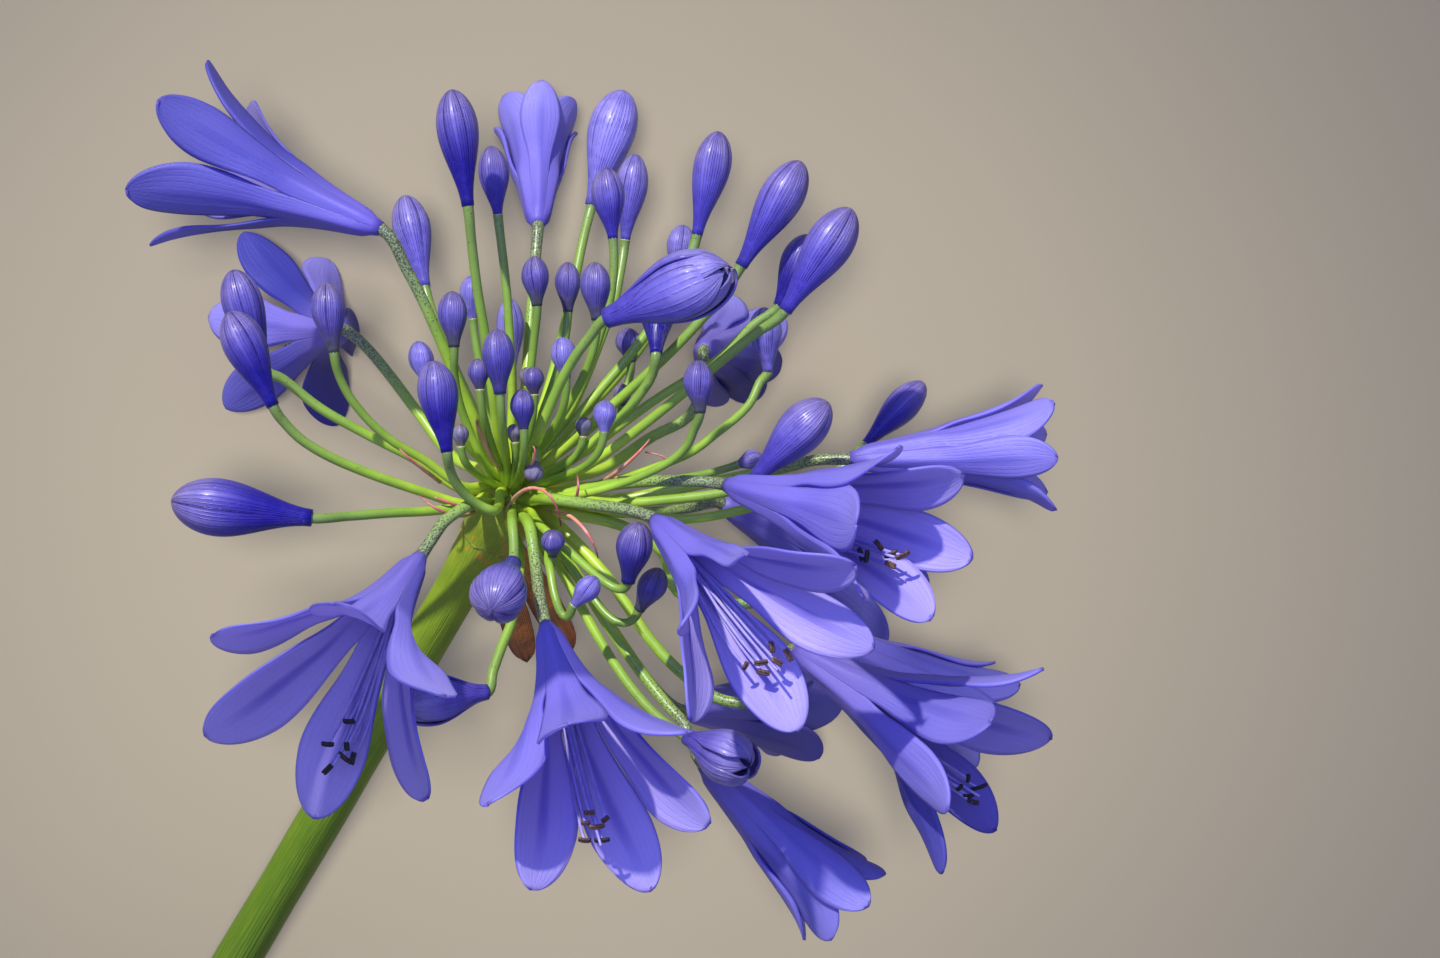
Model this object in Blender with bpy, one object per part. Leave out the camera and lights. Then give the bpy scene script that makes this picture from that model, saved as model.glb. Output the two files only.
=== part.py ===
# Agapanthus flower head: a round umbel of violet-blue trumpet flowers and buds
# on thin green pedicels, at the end of a thick scape. The cut stem lies on a table.
# Sizes are in millimetres, and each mesh and place is written in metres.
# +X is the photo's right, +Y is the photo's up, +Z points up to the photo's camera.
import math
from collections import namedtuple

import bmesh
import bpy
from mathutils import Matrix, Vector

METRES = 0.001

# Driving sizes
TEPAL_THICKNESS = 0.7
THROAT_RADIUS = 1.7
INNER_TEPAL_WIDTH = 11.0
OUTER_TEPAL_WIDTH = 9.4
WHORL_STEP = 0.55
SCAPE_RADIUS_TOP = 3.9
SCAPE_RADIUS_BASE = 4.5
SCAPE_CURVED_RUN = 205.0
SCAPE_FLAT_RUN = 28.0
SCAPE_BEARING = 238.2
SCAPE_SLOPE = 27.5
DOME_RADIUS = 6.4
FLOWER_PEDICEL_RADIUS = 1.25
JOINT_GAP = 0.4
BRACT_THICKNESS = 0.7

# Where things stand. The photo looks straight down on the table, so a pixel and
# a height above the table give a point.
PHOTO_CENTRE = (720.0, 479.0)
LENS_IN_PIXELS = 4000.0
CAMERA_HEIGHT = 765.0
BOX_SHIFT = Vector((53.0, 65.0, 0.0))


def place(pixel, height):
    """The point seen at this pixel of the photo, at this height above the table."""
    size_of_pixel = (CAMERA_HEIGHT - height) / LENS_IN_PIXELS
    across = (pixel[0] - PHOTO_CENTRE[0]) * size_of_pixel
    along = (PHOTO_CENTRE[1] - pixel[1]) * size_of_pixel
    return Vector((across, along, height)) + BOX_SHIFT


def direction(bearing, rise):
    """Unit vector at a bearing in the photo plane, tilted up to the camera by rise."""
    b = math.radians(bearing)
    r = math.radians(rise)
    return Vector((math.cos(b) * math.cos(r), math.sin(b) * math.cos(r), math.sin(r)))


def turned(bearing, rise, roll):
    """Rotation that takes +Z to the direction, with the roll about it."""
    along = direction(bearing, rise)
    up = direction(bearing, rise + 90.0)
    side = along.cross(up)
    angle = math.radians(roll)
    first = up * math.cos(angle) + side * math.sin(angle)
    return Matrix((first, along.cross(first), along)).transposed()


def ease(value, start, end):
    """Smooth step from 0 at start to 1 at end."""
    t = min(max((value - start) / (end - start), 0.0), 1.0)
    return t * t * (3.0 - 2.0 * t)


RECEPTACLE = place((505, 507), 75.0)
UMBEL_AXIS = direction(SCAPE_BEARING + 180.0, SCAPE_SLOPE)
SPATHE_NECK = RECEPTACLE - UMBEL_AXIS * 11.0


# Materials
def plain_material(name, colour, roughness):
    material = bpy.data.materials.new(name)
    material.use_nodes = True
    shader = material.node_tree.nodes["Principled BSDF"]
    shader.inputs["Base Color"].default_value = (*colour, 1.0)
    shader.inputs["Roughness"].default_value = roughness
    shader.inputs["Metallic"].default_value = 0.0
    return material


# Objects, from meshes in millimetres
def add_object(name, shell):
    """Make an object of the mesh, triangulated and with its faces pointing out."""
    bmesh.ops.recalc_face_normals(shell, faces=shell.faces)
    bmesh.ops.triangulate(shell, faces=shell.faces)
    bmesh.ops.scale(shell, vec=(METRES, METRES, METRES), verts=shell.verts)
    mesh = bpy.data.meshes.new(name)
    shell.to_mesh(mesh)
    shell.free()
    mesh.shade_smooth()
    thing = bpy.data.objects.new(name, mesh)
    bpy.context.scene.collection.objects.link(thing)
    return thing


def apply_modifiers(thing):
    bpy.context.view_layer.update()
    shaped = thing.evaluated_get(bpy.context.evaluated_depsgraph_get())
    mesh = bpy.data.meshes.new_from_object(shaped)
    thing.modifiers.clear()
    thing.data = mesh
    mesh.name = thing.name


def thicken(thing, thickness):
    solid = thing.modifiers.new("thickness", "SOLIDIFY")
    solid.thickness = thickness * METRES
    solid.offset = 0.0
    apply_modifiers(thing)


def fuse(body, repeats):
    """Join the repeats to the body with one union, and remove them."""
    group = bpy.data.collections.new(body.name + "_repeats")
    bpy.context.scene.collection.children.link(group)
    for piece in repeats:
        bpy.context.scene.collection.objects.unlink(piece)
        group.objects.link(piece)
    union = body.modifiers.new("union", "BOOLEAN")
    union.operation = "UNION"
    union.operand_type = "COLLECTION"
    union.collection = group
    union.solver = "MANIFOLD"
    apply_modifiers(body)
    for piece in repeats:
        bpy.data.objects.remove(piece)
    bpy.data.collections.remove(group)


def set_in_place(thing, location, rotation, material, parent):
    thing.location = location * METRES
    thing.rotation_mode = "QUATERNION"
    thing.rotation_quaternion = rotation.to_quaternion()
    thing.parent = parent
    thing.data.materials.clear()
    thing.data.materials.append(material)


def rod(name, centres, radii, sides, up):
    """A closed rod with a flat side up: a ring at each centre, bridged to the next."""
    shell = bmesh.new()
    rings = []
    last = len(centres) - 1
    for i, centre in enumerate(centres):
        ahead = (centres[min(i + 1, last)] - centres[max(i - 1, 0)]).normalized()
        side = up.cross(ahead).normalized()
        facing = Matrix((side, ahead.cross(side), ahead)).transposed().to_4x4()
        facing = facing @ Matrix.Rotation(math.pi / sides, 4, "Z")
        facing.translation = centre
        ring = bmesh.ops.create_circle(
            shell, segments=sides, radius=radii[i], cap_ends=i in (0, last), matrix=facing)
        rings.append({e for v in ring["verts"] for e in v.link_edges})
    for before, after in zip(rings, rings[1:]):
        bmesh.ops.bridge_loops(shell, edges=list(before | after))
    return add_object(name, shell)


def bezier(p0, p1, p2, p3, t):
    s = 1.0 - t
    return p0 * s ** 3 + p1 * 3.0 * s * s * t + p2 * 3.0 * s * t * t + p3 * t ** 3


# Open flowers. joint: pixel where the pedicel ends. spread: how far the tepals lean
# out. bend and swing: how far each of the six tepals leans out more, or aside.
# A height of None sets the flower down on its lowest tepal tip.
STRAIGHT = (0, 0, 0, 0, 0, 0)
Flower = namedtuple(
    "Flower", "joint height bearing rise roll length spread bend swing stamens")
FLOWERS = {
    "flower_01": Flower((381, 229), 92, 157, -16, 22, 42.0, 27,
                        (0, -3, 6, 0, -1, 0), (-3, -1, 0, 0, 3, 1), True),
    "flower_02": Flower((420, 557), 112, 241, 48, 74, 46.0, 37,
                        (-4, 0, 0, -5, 0, 0), (-1, -1, 0, 5, -1, -3), True),
    "flower_03": Flower((546, 625), 112, 290, 48, 59, 48.0, 28,
                        (-2, -3, 3, -6, -3, 3), (-6, 2, 3, 1, 1, 0), True),
    "flower_04": Flower((655, 520), 110, 316, 50, 91, 45.7, 28,
                        (-3, 0, 2, -3, -2, 1), (-6, 3, 0, -2, 8, -4), True),
    "flower_05": Flower((727, 485), 102, 345, 45, 60, 45.0, 19,
                        (-5, -2, 1, -3, 0, -1), (-3, 0, -2, 0, 3, 3), True),
    "flower_06": Flower((850, 459), 82, 5, -2, 14, 35.3, 15,
                        (-1, 2, 0, -1, 0, 0), (-3, 0, 2, 1, -2, 2), False),
    "flower_07": Flower((795, 650), 92, 329, 22, 35, 45.3, 28,
                        (-5, 2, -1, 0, 2, 1), (-7, 1, -1, -2, 7, 1), True),
    "flower_08": Flower((703, 766), 98, 315, -13, 103, 36.1, 8,
                        STRAIGHT, STRAIGHT, True),
    "flower_09": Flower((539, 224), 48, 93, -48, 6, 35.1, 9,
                        (-4, 0, -2, 0, 5, -3), STRAIGHT, False),
    "flower_10": Flower((803, 633), 70, 347, -29, 1, 41.7, 20,
                        STRAIGHT, STRAIGHT, False),
    "flower_11": Flower((345, 330), None, 168, -66, 61, 43.5, 33,
                        (4, -8, -8, 4, 2, -6), (-6, -6, 0, -6, 4, 6), False),
    "flower_12": Flower((704, 350), None, 1, -80, 15, 42.0, 22,
                        (0, -6, 1, -5, -3, 0), (0, 6, -6, -2, 2, 0), False),
    "flower_13": Flower((672, 712), 58, 357, -60, 56, 43.2, 20,
                        STRAIGHT, STRAIGHT, False),
    "flower_14": Flower((722, 503), None, 334, -38, 47, 44.0, 18,
                        (0, -3, 0, -5, 0, 0), STRAIGHT, False),
}

# The tube splits into six tepals at this share of the length, and the tips curl out.
SPLIT = 0.375
THROAT_ANGLE = 8.0
TIP_CURL = 14.0
STEPS = 48


class Trumpet:
    """The form of one flower, along +Z: an inner and an outer whorl of tepals."""

    def __init__(self, flower):
        self.flower = flower
        self.scale = flower.length / 46.0
        self.tube = self.midline(0.0)
        self.tepals = [self.midline(bend) for bend in flower.bend]

    def midline(self, bend):
        """Radius, height and lean of a tepal's midline, step by step."""
        lean = []
        for i in range(STEPS + 1):
            s = i / STEPS
            angle = THROAT_ANGLE
            angle += (self.flower.spread - THROAT_ANGLE) * ease(s, 0.05, 0.75)
            angle += TIP_CURL * ease(s, 0.72, 1.0) + bend * ease(s, SPLIT, 0.8)
            lean.append(math.radians(angle))
        radius = [THROAT_RADIUS]
        height = [0.0]
        step = self.flower.length / STEPS
        for before, after in zip(lean, lean[1:]):
            radius.append(radius[-1] + step * 0.5 * (math.sin(before) + math.sin(after)))
            height.append(height[-1] + step * 0.5 * (math.cos(before) + math.cos(after)))
        return radius, height, lean

    def radius_at(self, s):
        return sample(self.tube[0], s)

    def half_width(self, tepal, s):
        """A twelfth of the tube's girth, then a blade with a rounded tip."""
        if s <= SPLIT:
            return self.radius_at(s) * math.pi / 6.0
        at_split = self.radius_at(SPLIT) * math.pi / 6.0
        widest = 0.5 * (INNER_TEPAL_WIDTH if tepal % 2 else OUTER_TEPAL_WIDTH)
        blade = at_split + (widest * self.scale - at_split) * ease(s, SPLIT, 0.74)
        rounded = min(max((s - 0.74) / 0.26, 0.0), 1.0)
        return blade * math.sqrt(max(1.0 - rounded ** 2.2, 0.0))

    def bow(self, s):
        """Radius of the tepal's cross section: the tube's own, then flatter."""
        around = self.radius_at(s)
        if s <= SPLIT:
            return around
        at_split = self.radius_at(SPLIT)
        return max(around, at_split + (10.0 * self.scale - at_split) * ease(s, 0.5, 0.95))

    def point(self, tepal, s, t):
        """Point on tepal 0 to 5, at s along it (0 to 1) and t across it (-1 to 1)."""
        radius, height, lean = (sample(values, s) for values in self.tepals[tepal])
        bow = self.bow(s)
        across = self.half_width(tepal, s) / bow * t
        sink = bow * (1.0 - math.cos(across))
        tilt = ease(s, SPLIT, 0.6)
        step = (-WHORL_STEP if tepal % 2 else WHORL_STEP) * ease(s, SPLIT, 0.55)
        out = radius - sink * (1.0 - tilt) + (step - sink * tilt) * math.cos(lean)
        up = height + (sink * tilt - step) * math.sin(lean)
        swing = self.flower.swing[tepal] * ease(s, SPLIT, 0.95)
        turn = Matrix.Rotation(math.radians(60.0 * tepal + swing), 3, "Z")
        return turn @ Vector((out, bow * math.sin(across), up))


def sample(values, s):
    """Value at a share s of the way through an evenly spaced list."""
    spot = min(max(s, 0.0), 1.0) * STEPS
    i = min(int(spot), STEPS - 1)
    return values[i] + (values[i + 1] - values[i]) * (spot - i)


def build_perianth(name, trumpet):
    """A grid for each tepal, shaped by the trumpet, merged along the tube's seams."""
    rows = (0.0, SPLIT, 0.53, 0.74, 0.92, 1.0)
    shell = bmesh.new()
    for tepal in range(6):
        grid = bmesh.ops.create_grid(shell, x_segments=2, y_segments=len(rows) - 1, size=1.0)
        for vertex in grid["verts"]:
            row = round((vertex.co.y + 1.0) * 0.5 * (len(rows) - 1))
            vertex.co = trumpet.point(tepal, rows[row], vertex.co.x)
    bmesh.ops.remove_doubles(shell, verts=shell.verts, dist=0.001)
    perianth = add_object(name, shell)
    thicken(perianth, TEPAL_THICKNESS)
    return perianth


def build_ovary(trumpet):
    """The closed foot of the tube, which the stamens and the style grow from."""
    heights = (-0.3, 3.0, 7.0)
    radii = (THROAT_RADIUS, trumpet.radius_at(3.0 / trumpet.flower.length), 1.1)
    centres = [Vector((0.0, 0.0, height)) for height in heights]
    return rod("ovary", centres, radii, 6, Vector((1.0, 0.0, 0.0)))


def inner_stalk(trumpet, fall, root, out, reach, radii):
    """A thin stalk from the ovary through the tube, sagging to the lower side."""
    length = trumpet.flower.length
    up = Vector((0.0, 0.0, length))
    knee = up * 0.3 + (fall + out) * trumpet.radius_at(0.3) * 0.8
    bend = up * 0.6 + (fall + out) * trumpet.radius_at(0.6) * 1.2
    tip = up * reach + (fall + out) * trumpet.radius_at(reach)
    centres = [bezier(root, knee, bend, tip, t) for t in (0.0, 0.55, 1.0)]
    return rod("stalklet", centres, radii, 3, Vector((1.0, 0.0, 0.0))), tip


def build_stamens(trumpet, fall):
    """Six filaments with an anther across the end of each, and the style."""
    pieces = []
    for index in range(6):
        angle = math.radians(60.0 * index + 30.0)
        out = Vector((math.cos(angle), math.sin(angle), 0.0))
        root = out * 0.5 + Vector((0.0, 0.0, 3.0))
        reach = 0.74 + 0.02 * (index % 3)
        filament, tip = inner_stalk(
            trumpet, fall, root, out * 0.3, reach, (0.42, 0.38, 0.34))
        lay = Vector((-math.sin(angle), math.cos(angle), 0.4)).normalized()
        ends = [tip + lay * along for along in (-1.5, 0.0, 1.5)]
        anther = rod("anther", ends, (0.25, 0.75, 0.25), 3, Vector((0.0, 0.0, 1.0)))
        pieces += [filament, anther]
    foot = Vector((0.0, 0.0, 4.0))
    nowhere = Vector((0.0, 0.0, 0.0))
    pieces.append(inner_stalk(trumpet, fall * 1.2, foot, nowhere, 0.82, (0.45, 0.4, 0.35))[0])
    return pieces


def build_flower(name, flower, material, parent):
    """Builds the flower, sets it in place and returns its joint."""
    rotation = turned(flower.bearing, flower.rise, flower.roll)
    trumpet = Trumpet(flower)
    perianth = build_perianth(name, trumpet)
    pieces = [build_ovary(trumpet)]
    if flower.stamens:
        fall = rotation.transposed() @ Vector((0.0, -1.0, 0.0))
        fall.z = 0.0
        pieces += build_stamens(trumpet, fall.normalized() * 0.42)
    fuse(perianth, pieces)
    height = flower.height
    if height is None:
        height = -min((rotation @ v.co).z for v in perianth.data.vertices) / METRES
    joint = place(flower.joint, height)
    set_in_place(perianth, joint, rotation, material, parent)
    return joint


# Buds. plump: 0 is a small round bud, 1 is a long one about to open.
Bud = namedtuple("Bud", "joint height bearing rise length width plump")
BUDS = {
    "bud_01": Bud((468, 206), 103, 96, 0, 19.4, 7.0, 1.0),
    "bud_02": Bud((498, 216), 85, 96, 0, 12.0, 5.3, 0.6),
    "bud_03": Bud((592, 205), 45, 80, -10, 22.0, 8.6, 1.0),
    "bud_04": Bud((613, 239), 80, 96, 0, 12.3, 5.8, 0.6),
    "bud_05": Bud((625, 241), 55, 83, 0, 15.6, 5.8, 0.8),
    "bud_06": Bud((697, 235), 75, 81, 0, 18.2, 6.4, 1.0),
    "bud_07": Bud((741, 266), 90, 63, 0, 20.3, 7.7, 1.0),
    "bud_08": Bud((785, 311), 104, 59, 0, 19.8, 8.2, 1.0),
    "bud_09": Bud((778, 306), 84, 73, 0, 13.2, 6.0, 0.8),
    "bud_10": Bud((675, 275), 60, 80, 0, 9.0, 5.0, 0.5),
    "bud_11": Bud((607, 318), 108, 21, 20, 23.0, 10.5, 1.0),
    "bud_12": Bud((656, 355), 94, 88, -35, 17.0, 7.0, 1.0),
    "bud_13": Bud((537, 306), 88, 93, 0, 8.5, 4.6, 0.3),
    "bud_14": Bud((568, 312), 80, 90, 0, 8.6, 4.3, 0.3),
    "bud_15": Bud((597, 320), 90, 92, 0, 9.8, 5.2, 0.4),
    "bud_16": Bud((454, 347), 94, 92, 0, 9.4, 4.9, 0.4),
    "bud_17": Bud((473, 320), 78, 94, 0, 7.5, 4.0, 0.3),
    "bud_18": Bud((334, 353), 100, 97, 0, 11.8, 5.7, 0.5),
    "bud_19": Bud((265, 370), 90, 108, 0, 17.7, 7.0, 1.0),
    "bud_20": Bud((273, 406), 104, 115, 0, 17.1, 7.3, 1.0),
    "bud_21": Bud((447, 451), 112, 99, 0, 15.0, 6.9, 0.9),
    "bud_22": Bud((428, 385), 92, 104, 0, 7.5, 4.2, 0.3),
    "bud_23": Bud((500, 394), 105, 93, 0, 10.7, 5.4, 0.4),
    "bud_24": Bud((524, 430), 102, 93, 0, 6.8, 4.1, 0.2),
    "bud_25": Bud((566, 378), 95, 96, 0, 6.9, 4.3, 0.2),
    "bud_26": Bud((631, 362), 70, 97, 0, 6.0, 4.5, 0.2),
    "bud_27": Bud((700, 413), 108, 92, 0, 8.7, 5.0, 0.3),
    "bud_28": Bud((604, 433), 98, 87, 0, 5.5, 4.0, 0.2),
    "bud_29": Bud((534, 396), 88, 92, 0, 5.0, 3.6, 0.2),
    "bud_30": Bud((480, 391), 102, 94, 0, 5.4, 3.6, 0.2),
    "bud_31": Bud((553, 556), 103, 90, 30, 4.8, 4.0, 0.1),
    "bud_32": Bud((312, 518), 103, 175, 0, 23.4, 9.6, 1.0),
    "bud_33": Bud((517, 566), 106, 255, 60, 19.0, 8.6, 1.0),
    "bud_34": Bud((628, 582), 108, 82, 20, 10.5, 6.0, 0.4),
    "bud_35": Bud((639, 610), 100, 62, 15, 8.0, 4.8, 0.3),
    "bud_36": Bud((573, 606), 108, 50, 10, 6.3, 4.0, 0.3),
    "bud_37": Bud((686, 737), 108, 341, 25, 15.0, 7.6, 1.0),
    "bud_38": Bud((487, 692), 103, 187, 20, 15.0, 7.6, 1.0),
    "bud_39": Bud((753, 480), 93, 46, 10, 18.5, 8.2, 1.0),
    "bud_40": Bud((864, 446), 72, 46, -25, 17.0, 7.0, 1.0),
    "bud_41": Bud((768, 372), 50, 94, 0, 11.5, 6.0, 0.6),
    "bud_42": Bud((425, 287), 60, 104, -20, 18.0, 6.7, 1.0),
    "bud_43": Bud((735, 463), 60, 20, 0, 6.0, 4.0, 0.2),
}


def bud_radius(bud, s):
    """A narrow foot that swells to the widest place, then rounds off to the tip."""
    peak = 0.52 + 0.10 * bud.plump
    foot = 0.5 * bud.width * (0.42 if bud.plump < 0.5 else 0.36)
    swell = foot + (0.5 * bud.width - foot) * ease(s, 0.0, peak)
    past = min(max((s - peak) / (1.0 - peak), 0.0), 1.0)
    return swell * math.sqrt(max(1.0 - past ** 2.1, 0.0))


def build_bud(name, bud, material, parent):
    big = bud.plump > 0.5
    stops = (0.0, 0.28, 0.54, 0.79, 0.96) if big else (0.0, 0.32, 0.66, 0.94)
    centres = [Vector((0.0, 0.0, bud.length * s)) for s in stops]
    radii = [bud_radius(bud, s) for s in stops]
    body = rod(name, centres, radii, 8 if big else 6, Vector((1.0, 0.0, 0.0)))
    joint = place(bud.joint, bud.height)
    set_in_place(body, joint, turned(bud.bearing, bud.rise, 0.0), material, parent)
    return joint


# Stalk: scape, receptacle and every pedicel, grown as one. Its origin is at the
# middle of the receptacle.
def scape_height(run):
    """Height of the scape's middle above the table, this far out from the umbel."""
    facet = SCAPE_RADIUS_BASE * math.cos(math.pi / 8.0)
    t = min(run / SCAPE_CURVED_RUN, 1.0)
    slope = -math.tan(math.radians(SCAPE_SLOPE)) * SCAPE_CURVED_RUN
    keep = 2.0 * t ** 3 - 3.0 * t * t + 1.0
    lean = t ** 3 - 2.0 * t * t + t
    return keep * RECEPTACLE.z + lean * slope + (1.0 - keep) * facet


def build_scape():
    """An eight-sided scape whose last run lies on one flat side, up to the dome."""
    away = direction(SCAPE_BEARING, 0.0)
    up = Vector((0.0, 0.0, 1.0))
    runs = (SCAPE_CURVED_RUN + SCAPE_FLAT_RUN, SCAPE_CURVED_RUN,
            176.0, 146.0, 116.0, 86.0, 56.0, 30.0, 14.0, 9.0)
    centres = []
    radii = []
    for run in runs:
        centres.append(away * run + up * (scape_height(run) - RECEPTACLE.z))
        thin = 1.0 - min(run / SCAPE_CURVED_RUN, 1.0)
        radii.append(SCAPE_RADIUS_BASE + (SCAPE_RADIUS_TOP - SCAPE_RADIUS_BASE) * thin)
    radii[-1] = SCAPE_RADIUS_TOP + 0.6
    for rise, share in ((-3.5, 0.9), (0.0, 1.0), (3.0, 0.86), (5.2, 0.5)):
        centres.append(UMBEL_AXIS * rise)
        radii.append(DOME_RADIUS * share)
    return rod("stalk", centres, radii, 8, up)


def build_pedicel(joint, along, radius):
    """A pedicel from deep in the dome, bent round to meet its flower or bud."""
    end = joint - RECEPTACLE
    toward = end.normalized()
    root_way = (toward + UMBEL_AXIS * 0.7).normalized()
    root = root_way * (DOME_RADIUS * 0.55)
    span = (end - root).length
    leave = (root_way * 0.2 + toward).normalized()
    p1 = root + leave * span * 0.36
    p2 = end - along * span * 0.40
    centres = [bezier(root, p1, p2, end, t) for t in (0.0, 0.28, 0.55, 0.8)]
    centres += [end - along * 2.4, end - along * (JOINT_GAP + 0.3)]
    radii = [radius] * 4 + [radius * 1.15, radius * 1.3]
    sides = 5 if radius > 0.9 else 4
    return rod("pedicel", centres, radii, sides, Vector((0.21, 0.34, 0.92)))


# Spathe: a collar round the scape's neck with two dry bracts that hang back. Its
# origin is on the scape's axis, with +Z up the scape.
SPATHE_INNER = SCAPE_RADIUS_TOP + 0.9


def build_bract(name, tip, half):
    """A blade from the collar to its tip, bowed out from the scape."""
    outward = Vector((tip.x, tip.y, 0.0)).normalized()
    side = Vector((0.0, 0.0, 1.0)).cross(outward)
    start = outward * (SPATHE_INNER + 0.6)
    rows = ((0.0, 0.8), (0.3, 1.0), (0.62, 0.75), (0.88, 0.35), (1.0, 0.0))
    shell = bmesh.new()
    grid = bmesh.ops.create_grid(shell, x_segments=2, y_segments=len(rows) - 1, size=1.0)
    for vertex in grid["verts"]:
        t = vertex.co.x
        s, width = rows[round((vertex.co.y + 1.0) * 0.5 * (len(rows) - 1))]
        middle = start + (tip - start) * s + outward * 2.0 * math.sin(math.pi * s)
        sink = outward * 0.8 * t * t * (1.0 if s < 1.0 else 0.0)
        vertex.co = middle + side * half * width * t - sink
    bmesh.ops.remove_doubles(shell, verts=shell.verts, dist=0.001)
    bract = add_object(name, shell)
    thicken(bract, BRACT_THICKNESS)
    return bract


def build_spathe(material, parent):
    rotation = turned(SCAPE_BEARING + 180.0, SCAPE_SLOPE, 0.0)
    shell = bmesh.new()
    ring = bmesh.ops.create_circle(
        shell, segments=12, radius=SPATHE_INNER,
        matrix=Matrix.Translation((0.0, 0.0, -1.1)))
    edges = list({e for v in ring["verts"] for e in v.link_edges})
    first = list(edges)
    for radius, height in ((1.0, -1.1), (1.0, 1.1), (0.0, 1.1)):
        grown = bmesh.ops.extrude_edge_only(shell, edges=edges)["geom"]
        edges = [e for e in grown if isinstance(e, bmesh.types.BMEdge)]
        for vertex in [v for v in grown if isinstance(v, bmesh.types.BMVert)]:
            level = Vector((vertex.co.x, vertex.co.y, 0.0)).normalized()
            vertex.co = level * (SPATHE_INNER + radius)
            vertex.co.z = height
    bmesh.ops.bridge_loops(shell, edges=edges + first)
    collar = add_object("spathe", shell)
    bracts = []
    for name, pixel, height, half in (("bract_left", (516, 656), 46.0, 4.2),
                                      ("bract_right", (566, 646), 40.0, 3.8)):
        tip = rotation.transposed() @ (place(pixel, height) - SPATHE_NECK)
        bracts.append(build_bract(name, tip, half))
    fuse(collar, bracts)
    set_in_place(collar, SPATHE_NECK, rotation, material, parent)


def build_flower_head():
    for thing in list(bpy.data.objects):
        bpy.data.objects.remove(thing)
    petal = plain_material("petal", (0.17, 0.14, 0.62), 0.45)
    closed_petal = plain_material("closed petal", (0.09, 0.07, 0.42), 0.4)
    green = plain_material("green stalk", (0.12, 0.24, 0.03), 0.5)
    dry = plain_material("dry bract", (0.16, 0.07, 0.03), 0.8)
    head = bpy.data.objects.new("flower_head", None)
    bpy.context.scene.collection.objects.link(head)
    stalk = build_scape()
    pedicels = []
    for name, flower in FLOWERS.items():
        joint = build_flower(name, flower, petal, head)
        along = direction(flower.bearing, flower.rise)
        pedicels.append(build_pedicel(joint, along, FLOWER_PEDICEL_RADIUS))
    for name, bud in BUDS.items():
        joint = build_bud(name, bud, closed_petal, head)
        along = direction(bud.bearing, bud.rise)
        pedicels.append(build_pedicel(joint, along, 0.72 + 0.36 * bud.plump))
    fuse(stalk, pedicels)
    set_in_place(stalk, RECEPTACLE, Matrix.Identity(3), green, head)
    build_spathe(dry, head)


build_flower_head()
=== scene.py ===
import math
import random
from collections import namedtuple

import bmesh
import bpy
from mathutils import Matrix, Vector


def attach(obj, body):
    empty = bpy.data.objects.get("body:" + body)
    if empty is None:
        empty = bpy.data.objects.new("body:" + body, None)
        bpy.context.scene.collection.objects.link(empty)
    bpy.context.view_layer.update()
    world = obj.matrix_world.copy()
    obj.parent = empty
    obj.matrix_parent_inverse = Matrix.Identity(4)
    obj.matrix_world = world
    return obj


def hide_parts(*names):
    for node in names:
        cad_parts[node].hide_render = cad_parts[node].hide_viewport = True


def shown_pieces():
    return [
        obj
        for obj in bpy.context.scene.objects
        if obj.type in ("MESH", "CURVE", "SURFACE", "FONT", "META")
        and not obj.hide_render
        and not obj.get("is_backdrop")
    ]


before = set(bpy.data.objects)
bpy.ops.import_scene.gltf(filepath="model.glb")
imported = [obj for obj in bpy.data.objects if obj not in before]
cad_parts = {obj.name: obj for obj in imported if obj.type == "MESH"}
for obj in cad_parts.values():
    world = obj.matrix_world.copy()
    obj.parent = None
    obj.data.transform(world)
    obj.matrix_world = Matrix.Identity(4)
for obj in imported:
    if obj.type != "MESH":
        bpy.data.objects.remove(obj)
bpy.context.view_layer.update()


# Scape. The thick green stem that carries the umbel. It is one solid, juicy stalk,
# cut off at the far end. Its last run lies on the table and is pressed flat there,
# and its top swells into the dome that every pedicel grows from.

# Sizes are in mm, and turn into metres when a piece is finished.
METRES = 0.001
UP = Vector((0.0, 0.0, 1.0))

SCAPE_RADIUS_TOP = 3.9
SCAPE_RADIUS_CUT = 4.5
SCAPE_CURVED_RUN = 205.0
SCAPE_FLAT_RUN = 28.0
SCAPE_BEARING = 238.2
SCAPE_SLOPE = 27.5
SCAPE_SIDES = 32
SCAPE_RINGS = 60
NECK_RUN = 14.0
CUT_RIM = 0.35
CUT_HOLLOW = 0.12
DOME_RADIUS = 6.4
# The dome's outline: how far up the umbel's axis, and its share of the full radius.
DOME_PROFILE = (
    (-5.6, 0.80), (-3.5, 0.92), (-1.4, 0.985), (0.6, 1.0), (2.6, 0.93), (4.1, 0.78),
    (5.2, 0.55), (5.7, 0.25),
)

# The photo looks straight down, so a pixel and a height above the table give a point.
PHOTO_CENTRE = (720.0, 479.0)
LENS_IN_PIXELS = 4000.0
CAMERA_HEIGHT = 765.0
BOX_SHIFT = Vector((53.0, 65.0, 0.0))


def place(pixel, height):
    """The point seen at this pixel of the photo, in mm, at this height above the table."""
    size_of_pixel = (CAMERA_HEIGHT - height) / LENS_IN_PIXELS
    across = (pixel[0] - PHOTO_CENTRE[0]) * size_of_pixel
    along = (PHOTO_CENTRE[1] - pixel[1]) * size_of_pixel
    return Vector((across, along, height)) + BOX_SHIFT


def direction(bearing, rise):
    """Unit vector at a bearing in the photo plane, tilted up to the camera by rise."""
    b = math.radians(bearing)
    r = math.radians(rise)
    return Vector((math.cos(b) * math.cos(r), math.sin(b) * math.cos(r), math.sin(r)))


def part_way(value, start, end):
    """How far a value has come from start to end, from 0 to 1."""
    return min(max((value - start) / (end - start), 0.0), 1.0)


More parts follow.
